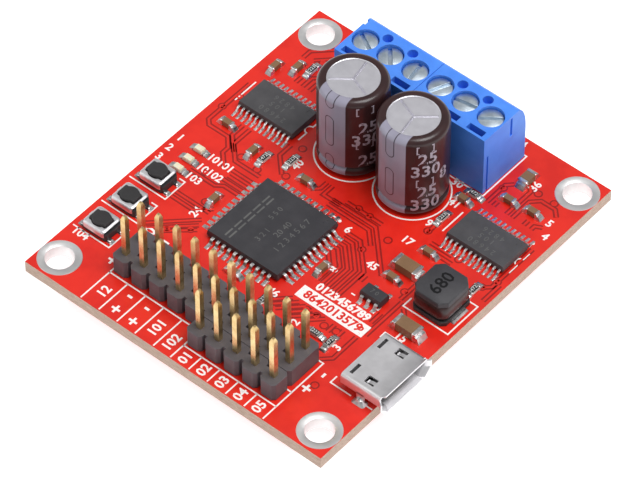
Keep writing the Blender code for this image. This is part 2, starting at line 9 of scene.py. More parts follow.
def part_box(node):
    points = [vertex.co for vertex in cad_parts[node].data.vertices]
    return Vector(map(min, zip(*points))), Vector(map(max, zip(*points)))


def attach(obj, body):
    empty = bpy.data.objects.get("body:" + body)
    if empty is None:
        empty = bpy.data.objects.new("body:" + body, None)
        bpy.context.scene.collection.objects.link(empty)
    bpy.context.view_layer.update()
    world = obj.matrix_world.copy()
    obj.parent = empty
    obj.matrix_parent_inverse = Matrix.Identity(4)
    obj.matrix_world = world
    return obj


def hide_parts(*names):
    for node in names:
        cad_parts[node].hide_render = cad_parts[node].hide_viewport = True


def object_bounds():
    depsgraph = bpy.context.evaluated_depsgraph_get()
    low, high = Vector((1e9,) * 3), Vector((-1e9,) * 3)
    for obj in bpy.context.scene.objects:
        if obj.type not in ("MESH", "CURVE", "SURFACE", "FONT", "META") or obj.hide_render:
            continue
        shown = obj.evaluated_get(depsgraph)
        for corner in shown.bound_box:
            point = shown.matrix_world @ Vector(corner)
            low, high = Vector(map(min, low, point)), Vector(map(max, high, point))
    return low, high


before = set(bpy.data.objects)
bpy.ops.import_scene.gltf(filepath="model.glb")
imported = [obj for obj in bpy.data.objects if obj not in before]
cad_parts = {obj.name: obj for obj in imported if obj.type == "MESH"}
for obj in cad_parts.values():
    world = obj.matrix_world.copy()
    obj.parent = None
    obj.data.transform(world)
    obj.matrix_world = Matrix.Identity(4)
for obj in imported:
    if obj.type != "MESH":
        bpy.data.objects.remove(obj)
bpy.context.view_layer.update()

mm = 0.001
boardTop = 1.6
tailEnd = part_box("header_2x10")[0].z / mm


# shader maths: a Field is one socket, and Python's operators add Math nodes to it
class Field:
    def __init__(self, look, socket):
        self.look = look
        self.socket = socket

    def maths(self, how, other=None, swapped=False):
        pair = [self] if other is None else [other, self] if swapped else [self, other]
        made = self.look.node("Math", {"operation": how}, dict(enumerate(pair)))
        return self.look.out(made)

    def __add__(self, other):
        return self.maths("ADD", other)

    def __radd__(self, other):
        return self.maths("ADD", other, True)

    def __sub__(self, other):
        return self.maths("SUBTRACT", other)

    def __rsub__(self, other):
        return self.maths("SUBTRACT", other, True)

    def __mul__(self, other):
        return self.maths("MULTIPLY", other)

    def __rmul__(self, other):
        return self.maths("MULTIPLY", other, True)

    def __abs__(self):
        return self.maths("ABSOLUTE")

    def least(self, other):
        return self.maths("MINIMUM", other)

    def most(self, other):
        return self.maths("MAXIMUM", other)

    def root(self):
        return self.maths("SQRT")

    def sine(self):
        return self.maths("SINE")

    def rise(self, low, high):      # 0 below low, 1 above high
        made = self.look.node("MapRange", {"interpolation_type": "SMOOTHSTEP"},
                              {"Value": self, "From Min": low, "From Max": high})
        return self.look.out(made)

    def fall(self, low, high):
        return 1 - self.rise(low, high)


class Look:
    def __init__(self, name):
        self.material = bpy.data.materials.new(name)
        self.material.use_nodes = True
        self.tree = self.material.node_tree
        self.surface = self.tree.nodes["Principled BSDF"]

    def node(self, kind, settings=None, sockets=None):
        made = self.tree.nodes.new("ShaderNode" + kind)
        for key, value in (settings or {}).items():
            setattr(made, key, value)
        for key, value in (sockets or {}).items():
            self.feed(made.inputs[key], value)
        return made

    def feed(self, socket, value):
        if isinstance(value, Field):
            self.tree.links.new(value.socket, socket)
        elif socket.type == "RGBA":
            socket.default_value = (*value[:3], 1.0)
        else:
            socket.default_value = value

    def out(self, made, key=0):
        return Field(self, made.outputs[key])

    def place(self):                # object coordinates in millimetres: x, y, z fields
        where = self.out(self.node("TexCoord"), "Object")
        scaled = self.node("VectorMath", {"operation": "SCALE"}, {0: where, "Scale": 1 / mm})
        self.where = self.out(scaled)
        split = self.node("SeparateXYZ", None, {0: self.where})
        return [self.out(split, axis) for axis in "XYZ"]

    def spot(self, stretch=(1, 1, 1)):
        if not hasattr(self, "where"):
            self.place()
        made = self.node("VectorMath", {"operation": "MULTIPLY"}, {0: self.where, 1: stretch})
        return self.out(made)

    def noise(self, scale, detail=3.0, rough=0.55, stretch=(1, 1, 1)):   # scale in cells per millimetre
        made = self.node("TexNoise", None, {"Vector": self.spot(stretch), "Scale": scale,
                                            "Detail": detail, "Roughness": rough})
        return self.out(made)

    def blend(self, share, first, second):
        made = self.node("Mix", {"data_type": "RGBA"}, {0: share, 6: first, 7: second})
        return self.out(made, 2)

    def bump(self, height, distance, strength=1.0):
        made = self.node("Bump", None, {"Height": height, "Distance": distance * mm, "Strength": strength})
        return self.out(made)

    def done(self, **sockets):
        names = {"colour": "Base Color", "rough": "Roughness", "metal": "Metallic", "normal": "Normal",
                 "coat": "Coat Weight", "coatRough": "Coat Roughness", "shine": "Specular IOR Level",
                 "deep": "Subsurface Weight", "deepSize": "Subsurface Scale", "glow": "Emission Color",
                 "glowPower": "Emission Strength"}
        for key, value in sockets.items():
            self.feed(self.surface.inputs[names[key]], value)
        return self.material


# shapes: drawn in millimetres, each ring a list of points counter-clockwise from above
def circle(radius, z, sides, centre=(0.0, 0.0), turn=0.0):
    return [Vector((centre[0] + radius * math.cos(turn + i * math.tau / sides),
                    centre[1] + radius * math.sin(turn + i * math.tau / sides), z)) for i in range(sides)]


def plate(halfX, halfY, z, centre=(0.0, 0.0), corner=0.0, steps=4):
    points = []
    for sx, sy, start in ((1, 1, 0), (-1, 1, 90), (-1, -1, 180), (1, -1, 270)):
        hub = (centre[0] + sx * (halfX - corner), centre[1] + sy * (halfY - corner))
        for step in range(steps + 1 if corner else 1):
            angle = math.radians(start + 90 * step / steps)
            points.append(Vector((hub[0] + corner * math.cos(angle), hub[1] + corner * math.sin(angle), z)))
    return points


def cutPlate(halfX, halfY, cut, z, centre=(0.0, 0.0)):
    return plate(halfX, halfY, z, centre, cut, 1)


class Shape:
    def __init__(self):
        self.mesh = bmesh.new()
        self.finish = 0

    def loft(self, rings, closed=False):
        rows = [[self.mesh.verts.new(point) for point in ring] for ring in rings]
        pairs = list(zip(rows, rows[1:])) + ([(rows[-1], rows[0])] if closed else [])
        made = []
        for first, second in pairs:
            for i in range(len(first)):
                j = (i + 1) % len(first)
                made.append(self.mesh.faces.new((first[i], first[j], second[j], second[i])))
        if not closed:
            made.append(self.mesh.faces.new(rows[0][::-1]))
            made.append(self.mesh.faces.new(rows[-1]))
        for face in made:
            face.material_index = self.finish
        return self

    def stack(self, halfX, halfY, stations, level=0.0, centre=(0.0, 0.0), corner=0.0, steps=4):
        return self.loft([plate(halfX - inset, halfY - inset, level + z, centre, corner, steps)
                          for inset, z in stations])

    def box(self, low, high):
        centre = ((low[0] + high[0]) / 2, (low[1] + high[1]) / 2)
        half = ((high[0] - low[0]) / 2, (high[1] - low[1]) / 2)
        return self.loft([plate(*half, z, centre) for z in (low[2], high[2])])

    def rod(self, radius, low, high, sides=24, centre=(0.0, 0.0)):
        return self.loft([circle(radius, z, sides, centre) for z in (low, high)])

    def turned(self, profile, sides=32, centre=(0.0, 0.0), closed=False):
        return self.loft([circle(r, z, sides, centre) for r, z in profile], closed)

    def ribbon(self, points, width, low, high, slope=0.0):
        points = [Vector(point) for point in points]
        half = width / 2
        section = ((-half, low), (half, low), (half - slope, high), (slope - half, high))
        rings = []
        for i, point in enumerate(points):
            near = points[max(i - 1, 0):i + 2]
            ways = [(after - before).normalized() for before, after in zip(near, near[1:])]
            way = sum(ways, Vector((0, 0))).normalized()
            spread = 1 / max(0.4, way.dot(ways[0]))
            side = Vector((-way.y, way.x)) * spread
            rings.append([Vector((*(point + side * across), z)) for across, z in section])
        return self.loft(rings)

    def sweep(self, path, outline, side):
        rings = []
        for i, point in enumerate(path):
            ahead = path[min(i + 1, len(path) - 1)] - path[max(i - 1, 0)]
            up = side.cross(ahead.normalized())
            rings.append([point + side * across + up * lift for across, lift in outline])
        return self.loft(rings)

    def text(self, word, at, size, turn=0.0, low=0.0, high=0.02, wrap=0.0, weight=0.0):
        curve = bpy.data.curves.new("lettering", "FONT")
        curve.body, curve.size = word, size
        curve.align_x, curve.align_y = "CENTER", "CENTER"
        curve.resolution_u, curve.extrude, curve.offset = 2, (high - low) / 2, weight * size
        holder = bpy.data.objects.new("lettering", curve)
        bpy.context.scene.collection.objects.link(holder)
        bpy.context.view_layer.update()
        drawn = bpy.data.meshes.new_from_object(holder.evaluated_get(bpy.context.evaluated_depsgraph_get()))
        bpy.data.objects.remove(holder)
        known = len(self.mesh.verts)
        faces = len(self.mesh.faces)
        self.mesh.from_mesh(drawn)
        self.mesh.verts.ensure_lookup_table()
        self.mesh.faces.ensure_lookup_table()
        place = Matrix.Translation((*at, (low + high) / 2)) @ Matrix.Rotation(math.radians(turn), 4, "Z")
        for vert in self.mesh.verts[known:]:
            vert.co = place @ vert.co
        if wrap:                    # bend the flat drawing round an upright cylinder
            for vert in self.mesh.verts[known:]:
                angle, radius, height = vert.co.x / wrap, wrap + vert.co.z, vert.co.y
                vert.co = Vector((radius * math.sin(angle), -radius * math.cos(angle), height))
        for face in self.mesh.faces[faces:]:
            face.material_index = self.finish
        bpy.data.meshes.remove(drawn)
        return self

    def cut(self, tool, how="DIFFERENCE"):
        holders = []
        for shape in (self, tool):
            bmesh.ops.recalc_face_normals(shape.mesh, faces=shape.mesh.faces)
            data = bpy.data.meshes.new("working")
            shape.mesh.to_mesh(data)
            shape.mesh.free()
            holders.append(bpy.data.objects.new("working", data))
            bpy.context.scene.collection.objects.link(holders[-1])
        modifier = holders[0].modifiers.new("cut", "BOOLEAN")
        modifier.solver, modifier.use_self = "EXACT", True
        modifier.operation, modifier.object = how, holders[1]
        self.mesh = bmesh.new()
        ready = holders[0].evaluated_get(bpy.context.evaluated_depsgraph_get())
        self.mesh.from_mesh(ready.to_mesh())
        for holder in holders:
            data = holder.data
            bpy.data.objects.remove(holder)
            bpy.data.meshes.remove(data)
        tidyFaces(self.mesh)
        return self


def tidyFaces(mesh):
    bmesh.ops.remove_doubles(mesh, verts=mesh.verts, dist=1e-4)
    bmesh.ops.dissolve_limit(mesh, angle_limit=math.radians(0.1), verts=mesh.verts, edges=mesh.edges,
                             delimit={"MATERIAL"})


def add(name, shape, looks, at=(0.0, 0.0, 0.0), turn=0.0, bevel=0.0, smooth=35, body="board",
        stands=()):
    bmesh.ops.recalc_face_normals(shape.mesh, faces=shape.mesh.faces)
    bmesh.ops.scale(shape.mesh, vec=Vector((mm, mm, mm)), verts=shape.mesh.verts)
    data = bpy.data.meshes.new(name)
    shape.mesh.to_mesh(data)
    shape.mesh.free()
    for look in looks if isinstance(looks, (list, tuple)) else [looks]:
        data.materials.append(look)
    data.shade_smooth()
    data.set_sharp_from_angle(angle=math.radians(smooth))
    piece = bpy.data.objects.new(name, data)
    piece.location = Vector(at) * mm
    piece.rotation_euler = (0.0, 0.0, math.radians(turn))
    bpy.context.scene.collection.objects.link(piece)
    if bevel:
        modifier = piece.modifiers.new("edges", "BEVEL")
        modifier.width, modifier.segments = bevel * mm, 2
        modifier.limit_method, modifier.angle_limit = "ANGLE", math.radians(smooth)
        modifier.harden_normals = True
    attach(piece, body)
    if stands:
        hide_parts(*stands)


def fromFrame(name, node, look, bevel, body):
    shape = Shape()
    shape.mesh.from_mesh(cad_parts[node].data)
    bmesh.ops.scale(shape.mesh, vec=Vector((1 / mm,) * 3), verts=shape.mesh.verts)
    tidyFaces(shape.mesh)
    for face in shape.mesh.faces:
        face.material_index = 0
    add(name, shape, look, bevel=bevel, body=body, stands=[node])


def middle(node):
    low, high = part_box(node)
    return ((low.x + high.x) / 2 / mm, (low.y + high.y) / 2 / mm)


# finishes
def maskLook(name, colour, dark):
    look = Look(name)
    x, y = look.place()[:2]
    cloud = look.noise(0.35, 4)
    weave = ((x * 6.0).sine() * (y * 6.0).sine()).rise(-1, 1)
    grain = look.noise(9.0, 2)
    shade = look.blend(cloud.rise(0.35, 0.7), colour, dark)
    ripple = weave * 0.35 + grain * 0.65
    return look.done(colour=shade, rough=0.24 + cloud * 0.10 + grain * 0.05, shine=0.4,
                     normal=look.bump(ripple, 0.004, 0.5), coat=0.22 + grain * 0.08, coatRough=0.12)


def laminateLook():
    look = Look("glassLaminate")
    layers = look.noise(5.0, 3, 0.6, (0.25, 0.25, 6.0))
    fibres = look.noise(4.0, 4, 0.7, (3.0, 3.0, 1.0))
    tan = look.blend(layers.rise(0.3, 0.7), (0.40, 0.27, 0.20), (0.62, 0.48, 0.40))
    charred = look.blend(fibres.rise(0.55, 0.75), tan, (0.26, 0.16, 0.12))
    return look.done(colour=charred, rough=0.75 + fibres * 0.2, normal=look.bump(layers + fibres, 0.05, 0.8))


def silkLook():
    look = Look("legendInk")
    grain = look.noise(7.0, 3, 0.6)
    ink = look.blend(grain.rise(0.30, 0.45), (0.82, 0.50, 0.47), (0.90, 0.86, 0.84))
    return look.done(colour=ink, rough=0.42 + grain * 0.15, normal=look.bump(grain, 0.01, 0.6))


def tinLook(name="solderTin", colour=(0.78, 0.78, 0.77), dark=(0.52, 0.52, 0.53), rough=0.2):
    look = Look(name)
    pools = look.noise(1.6, 3, 0.5)
    grain = look.noise(12.0, 2)
    shade = look.blend(pools.rise(0.35, 0.65), dark, colour)
    return look.done(colour=shade, metal=1.0, rough=rough + pools * 0.12 + grain * 0.06,
                     normal=look.bump(pools + grain * 0.3, 0.02, 0.5))


def goldLook():
    look = Look("goldPlate")
    cloud = look.noise(1.2, 3)
    drawn = look.noise(14.0, 2, 0.5, (1, 1, 0.08))
    shade = look.blend(cloud.rise(0.3, 0.7), (0.62, 0.43, 0.19), (0.78, 0.60, 0.31))
    return look.done(colour=shade, metal=1.0, rough=0.22 + drawn * 0.16, normal=look.bump(drawn, 0.006, 0.5))


def mouldLook(name, colour, worn, rough=0.5, grainSize=9.0, depth=0.006, shine=0.5):
    look = Look(name)
    cloud = look.noise(0.5, 3)
    grain = look.noise(grainSize, 3, 0.6)
    shade = look.blend(cloud.rise(0.3, 0.75) * 0.6 + grain.rise(0.45, 0.8) * 0.4, colour, worn)
    return look.done(colour=shade, rough=rough + grain * 0.15 - cloud * 0.06, shine=shine,
                     normal=look.bump(grain + cloud * 0.4, depth, 0.6))


def steelLook(name="tinnedSheet", colour=(0.80, 0.79, 0.80), dark=(0.60, 0.58, 0.60), rough=0.16):
    look = Look(name)
    cloud = look.noise(0.6, 3)
    rolled = look.noise(8.0, 3, 0.6, (0.15, 1.0, 1.0))
    shade = look.blend(cloud.rise(0.3, 0.7), dark, colour)
    return look.done(colour=shade, metal=1.0, rough=rough + rolled * 0.14 + cloud * 0.05,
                     normal=look.bump(rolled * 0.4 + cloud, 0.012, 0.35))


def screwLook():
    look = Look("screwZincPaintedBlueReflection")
    x, y = look.place()[:2]
    radius = (x * x + y * y).root()
    rings = (radius * 70.0).sine().rise(-1, 1)
    cloud = look.noise(1.5, 3)
    scratch = look.noise(6.0, 3, 0.6, (0.3, 2.0, 1.0))
    # painted reflection: both zinc tones are tinted blue to stand in for the blue terminal walls reflected in
    # the screw heads
    shade = look.blend(cloud.rise(0.3, 0.7), (0.52, 0.61, 0.69), (0.68, 0.77, 0.85))
    return look.done(colour=shade, metal=1.0, rough=0.26 + rings * 0.08 + scratch * 0.12,
                     normal=look.bump(rings * 0.4 + scratch, 0.008, 0.5))


maskRed = maskLook("maskRed", (0.74, 0.019, 0.008), (0.65, 0.012, 0.005))
maskTrace = maskLook("maskOverCopper", (0.72, 0.020, 0.009), (0.64, 0.013, 0.006))
maskGap = maskLook("maskOverLaminate", (0.30, 0.007, 0.004), (0.24, 0.005, 0.003))
laminate = laminateLook()
silk = silkLook()
tin = tinLook()
gold = goldLook()
steel = steelLook("tinnedSheet", (0.80, 0.79, 0.81), (0.72, 0.71, 0.73), 0.32)
plating = steelLook("platedRing", (0.80, 0.79, 0.79), (0.72, 0.71, 0.71), 0.34)
chipBlack = mouldLook("mouldingCompound", (0.026, 0.025, 0.030), (0.045, 0.043, 0.049), 0.42, 14.0, 0.01)
blackPlastic = mouldLook("blackMoulding", (0.018, 0.017, 0.018), (0.035, 0.033, 0.035), 0.45)
print("finishes ready")


# circuit board
board = {"half": (20.7, 24.25), "holes": (18.2, 21.46), "holeR": 1.63, "padR": 2.5, "padLift": 0.045,
         "edge": 0.04}


def buildBoard():
    half = board["half"]
    sheet = Shape().loft([plate(*half, z) for z in (0.0, boardTop)])
    tool = Shape()
    for sx in (-1, 1):
        for sy in (-1, 1):
            tool.rod(board["holeR"] + 0.02, -1, boardTop + 1, 48,
                     (sx * board["holes"][0], sy * board["holes"][1]))
    sheet.cut(tool)
    for face in sheet.mesh.faces:
        face.material_index = 0 if abs(face.normal.z) > 0.5 else 1
    add("circuit_board", sheet, [maskRed, laminate], bevel=board["edge"], stands=["pcb"])
    for index, (sx, sy) in enumerate(((-1, -1), (1, -1), (-1, 1), (1, 1))):
        hole, pad, lift = board["holeR"], board["padR"], board["padLift"]
        profile = ((hole, 0.0), (hole, boardTop), (hole + 0.08, boardTop + lift),
                   (pad - 0.06, boardTop + lift),
                   (pad, boardTop - 0.02), (pad, boardTop - 0.06), (hole + 0.03, boardTop - 0.06),
                   (hole + 0.03, 0.06), (pad, 0.06), (pad, 0.02), (pad - 0.06, -lift), (hole + 0.08, -lift))
        ring = Shape().turned(profile, 64, closed=True)
        limit = half[0] - board["holes"][0] - 0.02
        for vert in ring.mesh.verts:
            vert.co.x = max(-limit, min(limit, vert.co.x))
        spot = (sx * board["holes"][0], sy * board["holes"][1], 0.0)
        add(f"hole_plating_{index + 1}", ring, plating, at=spot)


# copper under the mask: each route is a run of points on the board, with its width
copper = {"lift": 0.030, "gap": 0.16, "width": 0.32}
topRoutes = [
    [(-15.0, -6.35), (-10.2, -6.35)], [(-15.0, -7.15), (-11.9, -7.15), (-10.2, -5.6)],
    [(-14.9, -12.2), (-10.2, -7.6)], [(-14.0, -12.3), (-9.9, -8.4)], [(-12.9, -12.0), (-9.6, -9.0)],
    [(-16.0, -3.0), (-12.4, -3.0), (-11.6, -2.4), (-9.5, -2.4)],
    [(-12.2, -1.0), (-9.4, -1.0)], [(-12.4, -0.1), (-9.4, -0.1)], [(-12.4, -1.7), (-9.4, -1.7)],
    [(-19.3, 10.8), (-19.3, 3.9), (-18.7, 3.3), (-16.0, 3.3), (-14.9, 2.1), (-14.9, 1.2), (-13.4, -0.3)],
    [(-15.8, 5.6), (-15.8, 3.8), (-14.0, 2.0)], [(-14.8, 5.6), (-14.8, 2.9), (-13.0, 1.1), (-9.5, 1.1)],
    [(-9.9, 6.8), (-9.9, 4.9), (-7.9, 2.9)], [(-13.6, 14.2), (-13.6, 15.4), (-11.9, 17.0)],
    [(-14.6, 14.2), (-14.6, 15.8), (-12.6, 17.8)], [(-15.6, 14.2), (-15.6, 15.2)],
    [(-17.4, 17.6), (-17.4, 18.8), (-15.3, 20.9)], [(-16.2, 18.0), (-14.6, 19.6)],
    [(-3.4, 5.2), (-3.4, 4.1), (-4.2, 3.3)], [(-2.6, 5.2), (-2.6, 3.6), (-0.2, 3.6)],
    [(-1.4, 2.9), (4.4, 2.9), (6.0, 1.3)], [(-1.4, 3.7), (4.7, 3.7), (9.6, -1.2)], [(0.0, 4.4), (5.0, 4.4)],
    [(2.9, 0.3), (4.3, 0.3), (7.0, -2.4), (7.0, -6.2)], [(2.9, -0.5), (3.9, -0.5), (6.2, -2.8), (6.2, -6.0)],
    [(2.9, -1.3), (3.6, -1.3), (5.4, -3.1), (5.4, -6.0)], [(2.9, 1.1), (4.7, 1.1), (7.8, -2.0), (7.8, -6.2)],
    [(2.9, -2.1), (4.7, -3.9), (4.7, -6.0)], [(8.3, -2.2), (8.3, -3.2)],
    [(4.4, -9.6), (1.8, -12.2)], [(5.3, -9.6), (2.9, -12.0)], [(6.2, -9.6), (3.9, -11.9)],
    [(7.1, -9.6), (4.9, -11.8)], [(8.0, -9.6), (5.9, -11.7)], [(8.9, -9.6), (7.4, -11.1)],
    [(13.0, -9.4), (13.0, -13.2), (12.0, -14.2)], [(10.2, -9.6), (10.2, -10.8)],
             [(11.4, -9.6), (11.4, -10.9)],
    [(13.6, -2.6), (13.6, -8.6)], [(12.9, -5.2), (12.9, -6.9)], [(12.2, 1.9), (13.2, 0.9), (13.2, -2.4)],
    [(11.5, 14.2), (11.5, 17.4), (12.2, 18.1)], [(12.4, 14.2), (12.4, 15.0)],
             [(14.2, 14.2), (14.2, 18.4), (12.9, 19.7)],
    [(15.0, 14.2), (15.0, 17.2), (15.9, 18.1), (17.8, 18.1), (18.6, 17.3)],
    [(16.6, 14.2), (16.6, 15.0)], [(17.6, 14.2), (17.6, 14.8), (18.4, 15.2)],
    [(19.5, 12.1), (19.5, 5.2), (18.6, 4.3)], [(11.0, 4.9), (14.2, 4.9)], [(10.6, 5.8), (13.6, 5.8)],
    [(20.0, 5.9), (20.0, 3.1)], [(9.4, 6.6), (9.4, 8.3)], [(14.3, -3.2), (15.4, -4.3)],
]
underRoutes = [[(-16 + 3.2 * i, -2), (-16 + 3.2 * i, -10 - i * 0.3), (-11.2 + 2.54 * i, -15)]
               for i in range(9)]
underRoutes += [[(-15.5 + side, 5.2), (-15.5 + side, 1.0), (-12.5 + side, -2.0)]
                for side in (0.0, 6.0, 25.0, 31.0)]
vias = [(-12.9, 2.0), (-10.4, 1.7), (-11.6, -5.4), (-14.4, -2.2), (-8.6, 7.2), (-7.4, 3.0), (9.3, 6.9),
        (12.9, -1.3),
        (5.6, 0.3), (6.9, 3.1), (7.9, -9.9), (9.4, -10.4), (10.9, -10.2), (12.6, -8.2), (18.7, 4.5),
        (19.5, 6.1),
        (14.4, 5.9), (13.7, 3.9), (15.0, 18.7), (17.2, 18.7), (11.6, 16.9), (-18.9, 8.6), (-15.2, 18.4),
        (-13.9, 16.8),
        (3.2, 4.4), (1.6, 4.5), (4.4, -11.0), (6.5, -9.9), (-10.2, -9.4), (-12.2, -11.0), (13.9, -17.2),
        (-19.4, 6.3)]


def buildCopper():
    for name, routes, level, away in (("top_copper", topRoutes, boardTop, 1),
                                      ("under_copper", underRoutes, 0.0, -1)):
        gaps, runs = Shape(), Shape()
        for route in routes:
            width = copper["width"]
            gaps.ribbon(route, width + 2 * copper["gap"], level - 0.02 * away, level + 0.006 * away)
            runs.ribbon(route, width, level - 0.02 * away, level + copper["lift"] * away, 0.05)
        for x, y in vias:
            gaps.turned(((0.14, level - 0.02 * away), (0.14, level + 0.008 * away),
                         (0.52, level + 0.008 * away),
                         (0.52, level - 0.02 * away)), 20, (x, y), closed=True)
            runs.turned(((0.13, level - 0.02 * away), (0.13, level + copper["lift"] * away),
                         (0.33, level + copper["lift"] * away), (0.38, level - 0.02 * away)), 20, (x, y),
                        closed=True)
        add(name + "_clearance", gaps, maskGap)
        add(name, runs, maskTrace)


# legend: plain lines, signs and digits
legend = {"line": 0.17, "sunk": 0.02, "lift": 0.022, "weight": 0.024, "sign": 2.1, "pinMark": 1.9,
          "edgeMark": 1.6, "mark": 1.4}


def buildLegend():
    foot, head = boardTop - legend["sunk"], boardTop + legend["lift"]
    lines = [[(x, -19.5), (x, -24.1)] for x in (-12.78, -10.2, -7.65, -5.1, -2.5)]
    lines += [[(-12.78, -18.7), (-12.78, -19.5)], [(-12.86, -19.5), (-1.5, -19.5)],
              [(-0.1, -21.1), (-0.1, -24.1)]]
    lines += [[(x, -22.0), (x, -24.1)] for x in (2.45, 5.0, 7.55, 10.1)]
    lines += [[(-0.18, -22.0), (12.7, -22.0)], [(12.7, -24.1), (12.7, -14.4), (12.0, -14.4)],
              [(12.0, -19.5), (12.7, -19.5)]]
    for number in "123":
        y = middle("button_base_" + number)[1]
        lines.append([(-20.3, y - 1.62), (-15.15, y - 1.62), (-15.15, y + 1.62), (-15.95, y + 1.62)])
    for x, y in (middle("driver_chip_1"), middle("driver_chip_2")):
        lines.append([(x - 4.85, y - 1.6), (x - 4.85, y + 1.9)])
        notch = [(x + 4.3 - 0.55 * math.sin(math.radians(a)), y + 0.3 - 0.55 * math.cos(math.radians(a)))
                 for a in range(0, 181, 20)]
        lines.append([(x + 4.3, y - 1.6), *notch, (x + 4.3, y + 1.9)])
    lines += [[(0.1, 1.5), (0.1, 1.95), (0.55, 1.95)],
              [(14.0, -1.5), (14.0, -2.9), (20.1, -2.9), (20.1, 2.1), (18.9, 2.1)],
              [(14.9, -14.8), (14.9, -15.85), (17.7, -15.85)], [(19.7, -15.85), (20.6, -15.85)],
              [(14.9, -7.8), (14.9, -6.95), (17.2, -6.95)], [(8.7, -5.1), (9.2, -5.1)],
              [(11.9, -5.1), (12.35, -5.1), (12.35, -4.6)],
              [(-10.75, 14.55), (10.65, 14.55), (10.65, 22.1), (-10.75, 22.1), (-10.75, 14.55)]]
    ink = Shape()
    for line in lines:
        ink.ribbon(line, legend["line"], foot, head)
    for number in "12":
        hoop = ((4.2, foot), (4.2, head), (4.37, head), (4.37, foot))
        ink.turned(hoop, 72, middle("capacitor_sleeve_" + number), closed=True)
    for spot in ((1.2, 1.85), (19.0, 12.8)):
        ink.rod(0.2, foot, head, 16, spot)
    marks = [("12", -11.4, -21.9, 90), ("-", -8.85, -20.5, 0), ("+", -8.85, -23.0, 0), ("-", -6.35, -20.6, 0),
             ("+", -6.35, -23.1, 0), ("101", -3.8, -22.0, 90), ("102", -1.3, -22.5, 90),
             ("+", -13.65, -18.2, 0), ("-", 13.6, -15.6, 90), ("+", 13.5, -18.2, 0),
             ("0", -13.3, -12.4, 90), ("1", -11.2, -12.5, 90), ("24", -11.4, -7.2, 90), ("8", 5.15, -3.8, 90),
             ("46", 2.3, -10.4, 0), ("3", 12.4, -11.8, 90), ("2", 6.8, -12.0, 90), ("15", 16.6, -6.4, 0),
             ("10101", -14.0, -0.2, 0), ("10102", -14.0, -2.0, 0), ("103", -14.8, -3.75, 0),
             ("1", -19.8, -0.2, 0),
             ("2", -19.8, -2.0, 0), ("3", -19.8, -3.7, 0), ("104", -18.8, -17.5, 0), ("40", -7.5, 5.1, 90),
             ("36", 14.15, 19.3, 90), ("5", 18.6, 16.1, 0), ("4", 19.4, 14.35, 0), ("41", 9.0, 11.75, 0),
             ("9", 8.7, 7.8, 0), ("17", 8.5, 4.4, 0), ("45", 7.9, -0.75, 0), ("6", 2.7, 1.45, 0),
             ("30", 7.4, 14.2, 0), ("4", 9.3, 23.2, 0)]
    marks += [(f"0{n + 1}", 1.2 + 2.55 * n, -23.15, 90) for n in range(5)]
    for word, x, y, turn in marks:
        size = legend["mark"]
        if word in "+-":
            size = legend["sign"]
        elif x in (-13.3, -11.2):
            size = legend["pinMark"]
        elif y < -19:
            size = legend["edgeMark"]
        ink.text(word, (x, y), size, turn, foot, head, weight=legend["weight"])
    ink.text("0123456789", (8.85, -6.65), 1.44, 0, foot, head, weight=0.04)
    ink.box((4.2, -9.15, foot), (13.4, -7.4, head))
    add("legend", ink, silk)
    red = Shape().text("8642013579", (8.8, -8.3), 1.55, 0, boardTop, head + 0.012, weight=0.03)
    add("legend_reversed", red, maskRed)


buildBoard()
buildCopper()
buildLegend()
print("board, copper and legend ready")


# pin headers: insulator cells and square pins
header = {"pitch": 2.54, "half": 1.07, "edge": 1.255, "cut": 0.36, "web": 0.5, "height": 2.45, "pin": 0.32,
          "tip": 8.45}
headerPlastic = mouldLook("headerPlastic", (0.078, 0.070, 0.080), (0.12, 0.107, 0.115), 0.42, 10.0, 0.012)


def insulatorOutline(columns, rows):
    half, edge, cut, web = (header[key] for key in ("half", "edge", "cut", "web"))
    front = []
    for column in range(columns):
        x = column * header["pitch"]
        if column > 0:
            front.append((x - half, -web))
        front += [(x - half, cut - edge), (x + cut - half, -edge), (x + half - cut, -edge),
                  (x + half, cut - edge)]
        if column < columns - 1:
            front.append((x + half, -web))
    return front + [(x, (rows - 1) * header["pitch"] - y) for x, y in reversed(front)]


def buildHeader(node, columns, rows):
    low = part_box(node)[0]
    pitch, half, pin = header["pitch"], header["half"], header["pin"]
    first = (low.x / mm + half, low.y / mm + header["edge"])
    floor, roof = boardTop + 0.03, boardTop + header["height"]
    tip = boardTop + header["tip"]
    outline = insulatorOutline(columns, rows)
    block = Shape().loft([[Vector((x, y, z)) for x, y in outline] for z in (floor, roof)])
    if rows > 1:
        slots = Shape()
        for i in range(columns - 1):
            slots.box((i * pitch + half, header["web"], 0),
                      ((i + 1) * pitch - half, pitch - header["web"], roof + 1))
        block.cut(slots)
    pins, joints = Shape(), Shape()
    for i in range(columns):
        for j in range(rows):
            spot = (i * pitch, j * pitch)
            stations = ((0.14, tailEnd + 0.02), (pin, tailEnd + 0.4), (pin, tip - 0.55),
                        (pin - 0.04, tip - 0.44),
                        (0.15, tip - 0.04), (0.11, tip))
            pins.loft([plate(h, h, z, spot) for h, z in stations])
            joints.turned(((0.95, -0.01), (0.9, -0.10), (0.62, -0.34), (0.42, -0.75), (0.3, -1.0)), 20, spot)
    add(node + "_insulator", block, headerPlastic, at=(*first, 0), stands=[node],
        bevel=0.06)
    add(node + "_pins", pins, gold, at=(*first, 0), stands=[node])
    add(node + "_solder", joints, tin, at=(*first, 0))


buildHeader("header_2x10", 10, 2)
buildHeader("header_1x5", 5, 1)
print("headers ready")


# screw terminal
terminal = {"poles": 6, "pitch": 3.5, "head": 8.2, "headR": 1.44, "shankR": 0.98, "probeR": 0.6,
            "blue": (0.055, 0.225, 0.80), "pale": (0.075, 0.27, 0.88), "deep": 0.05}


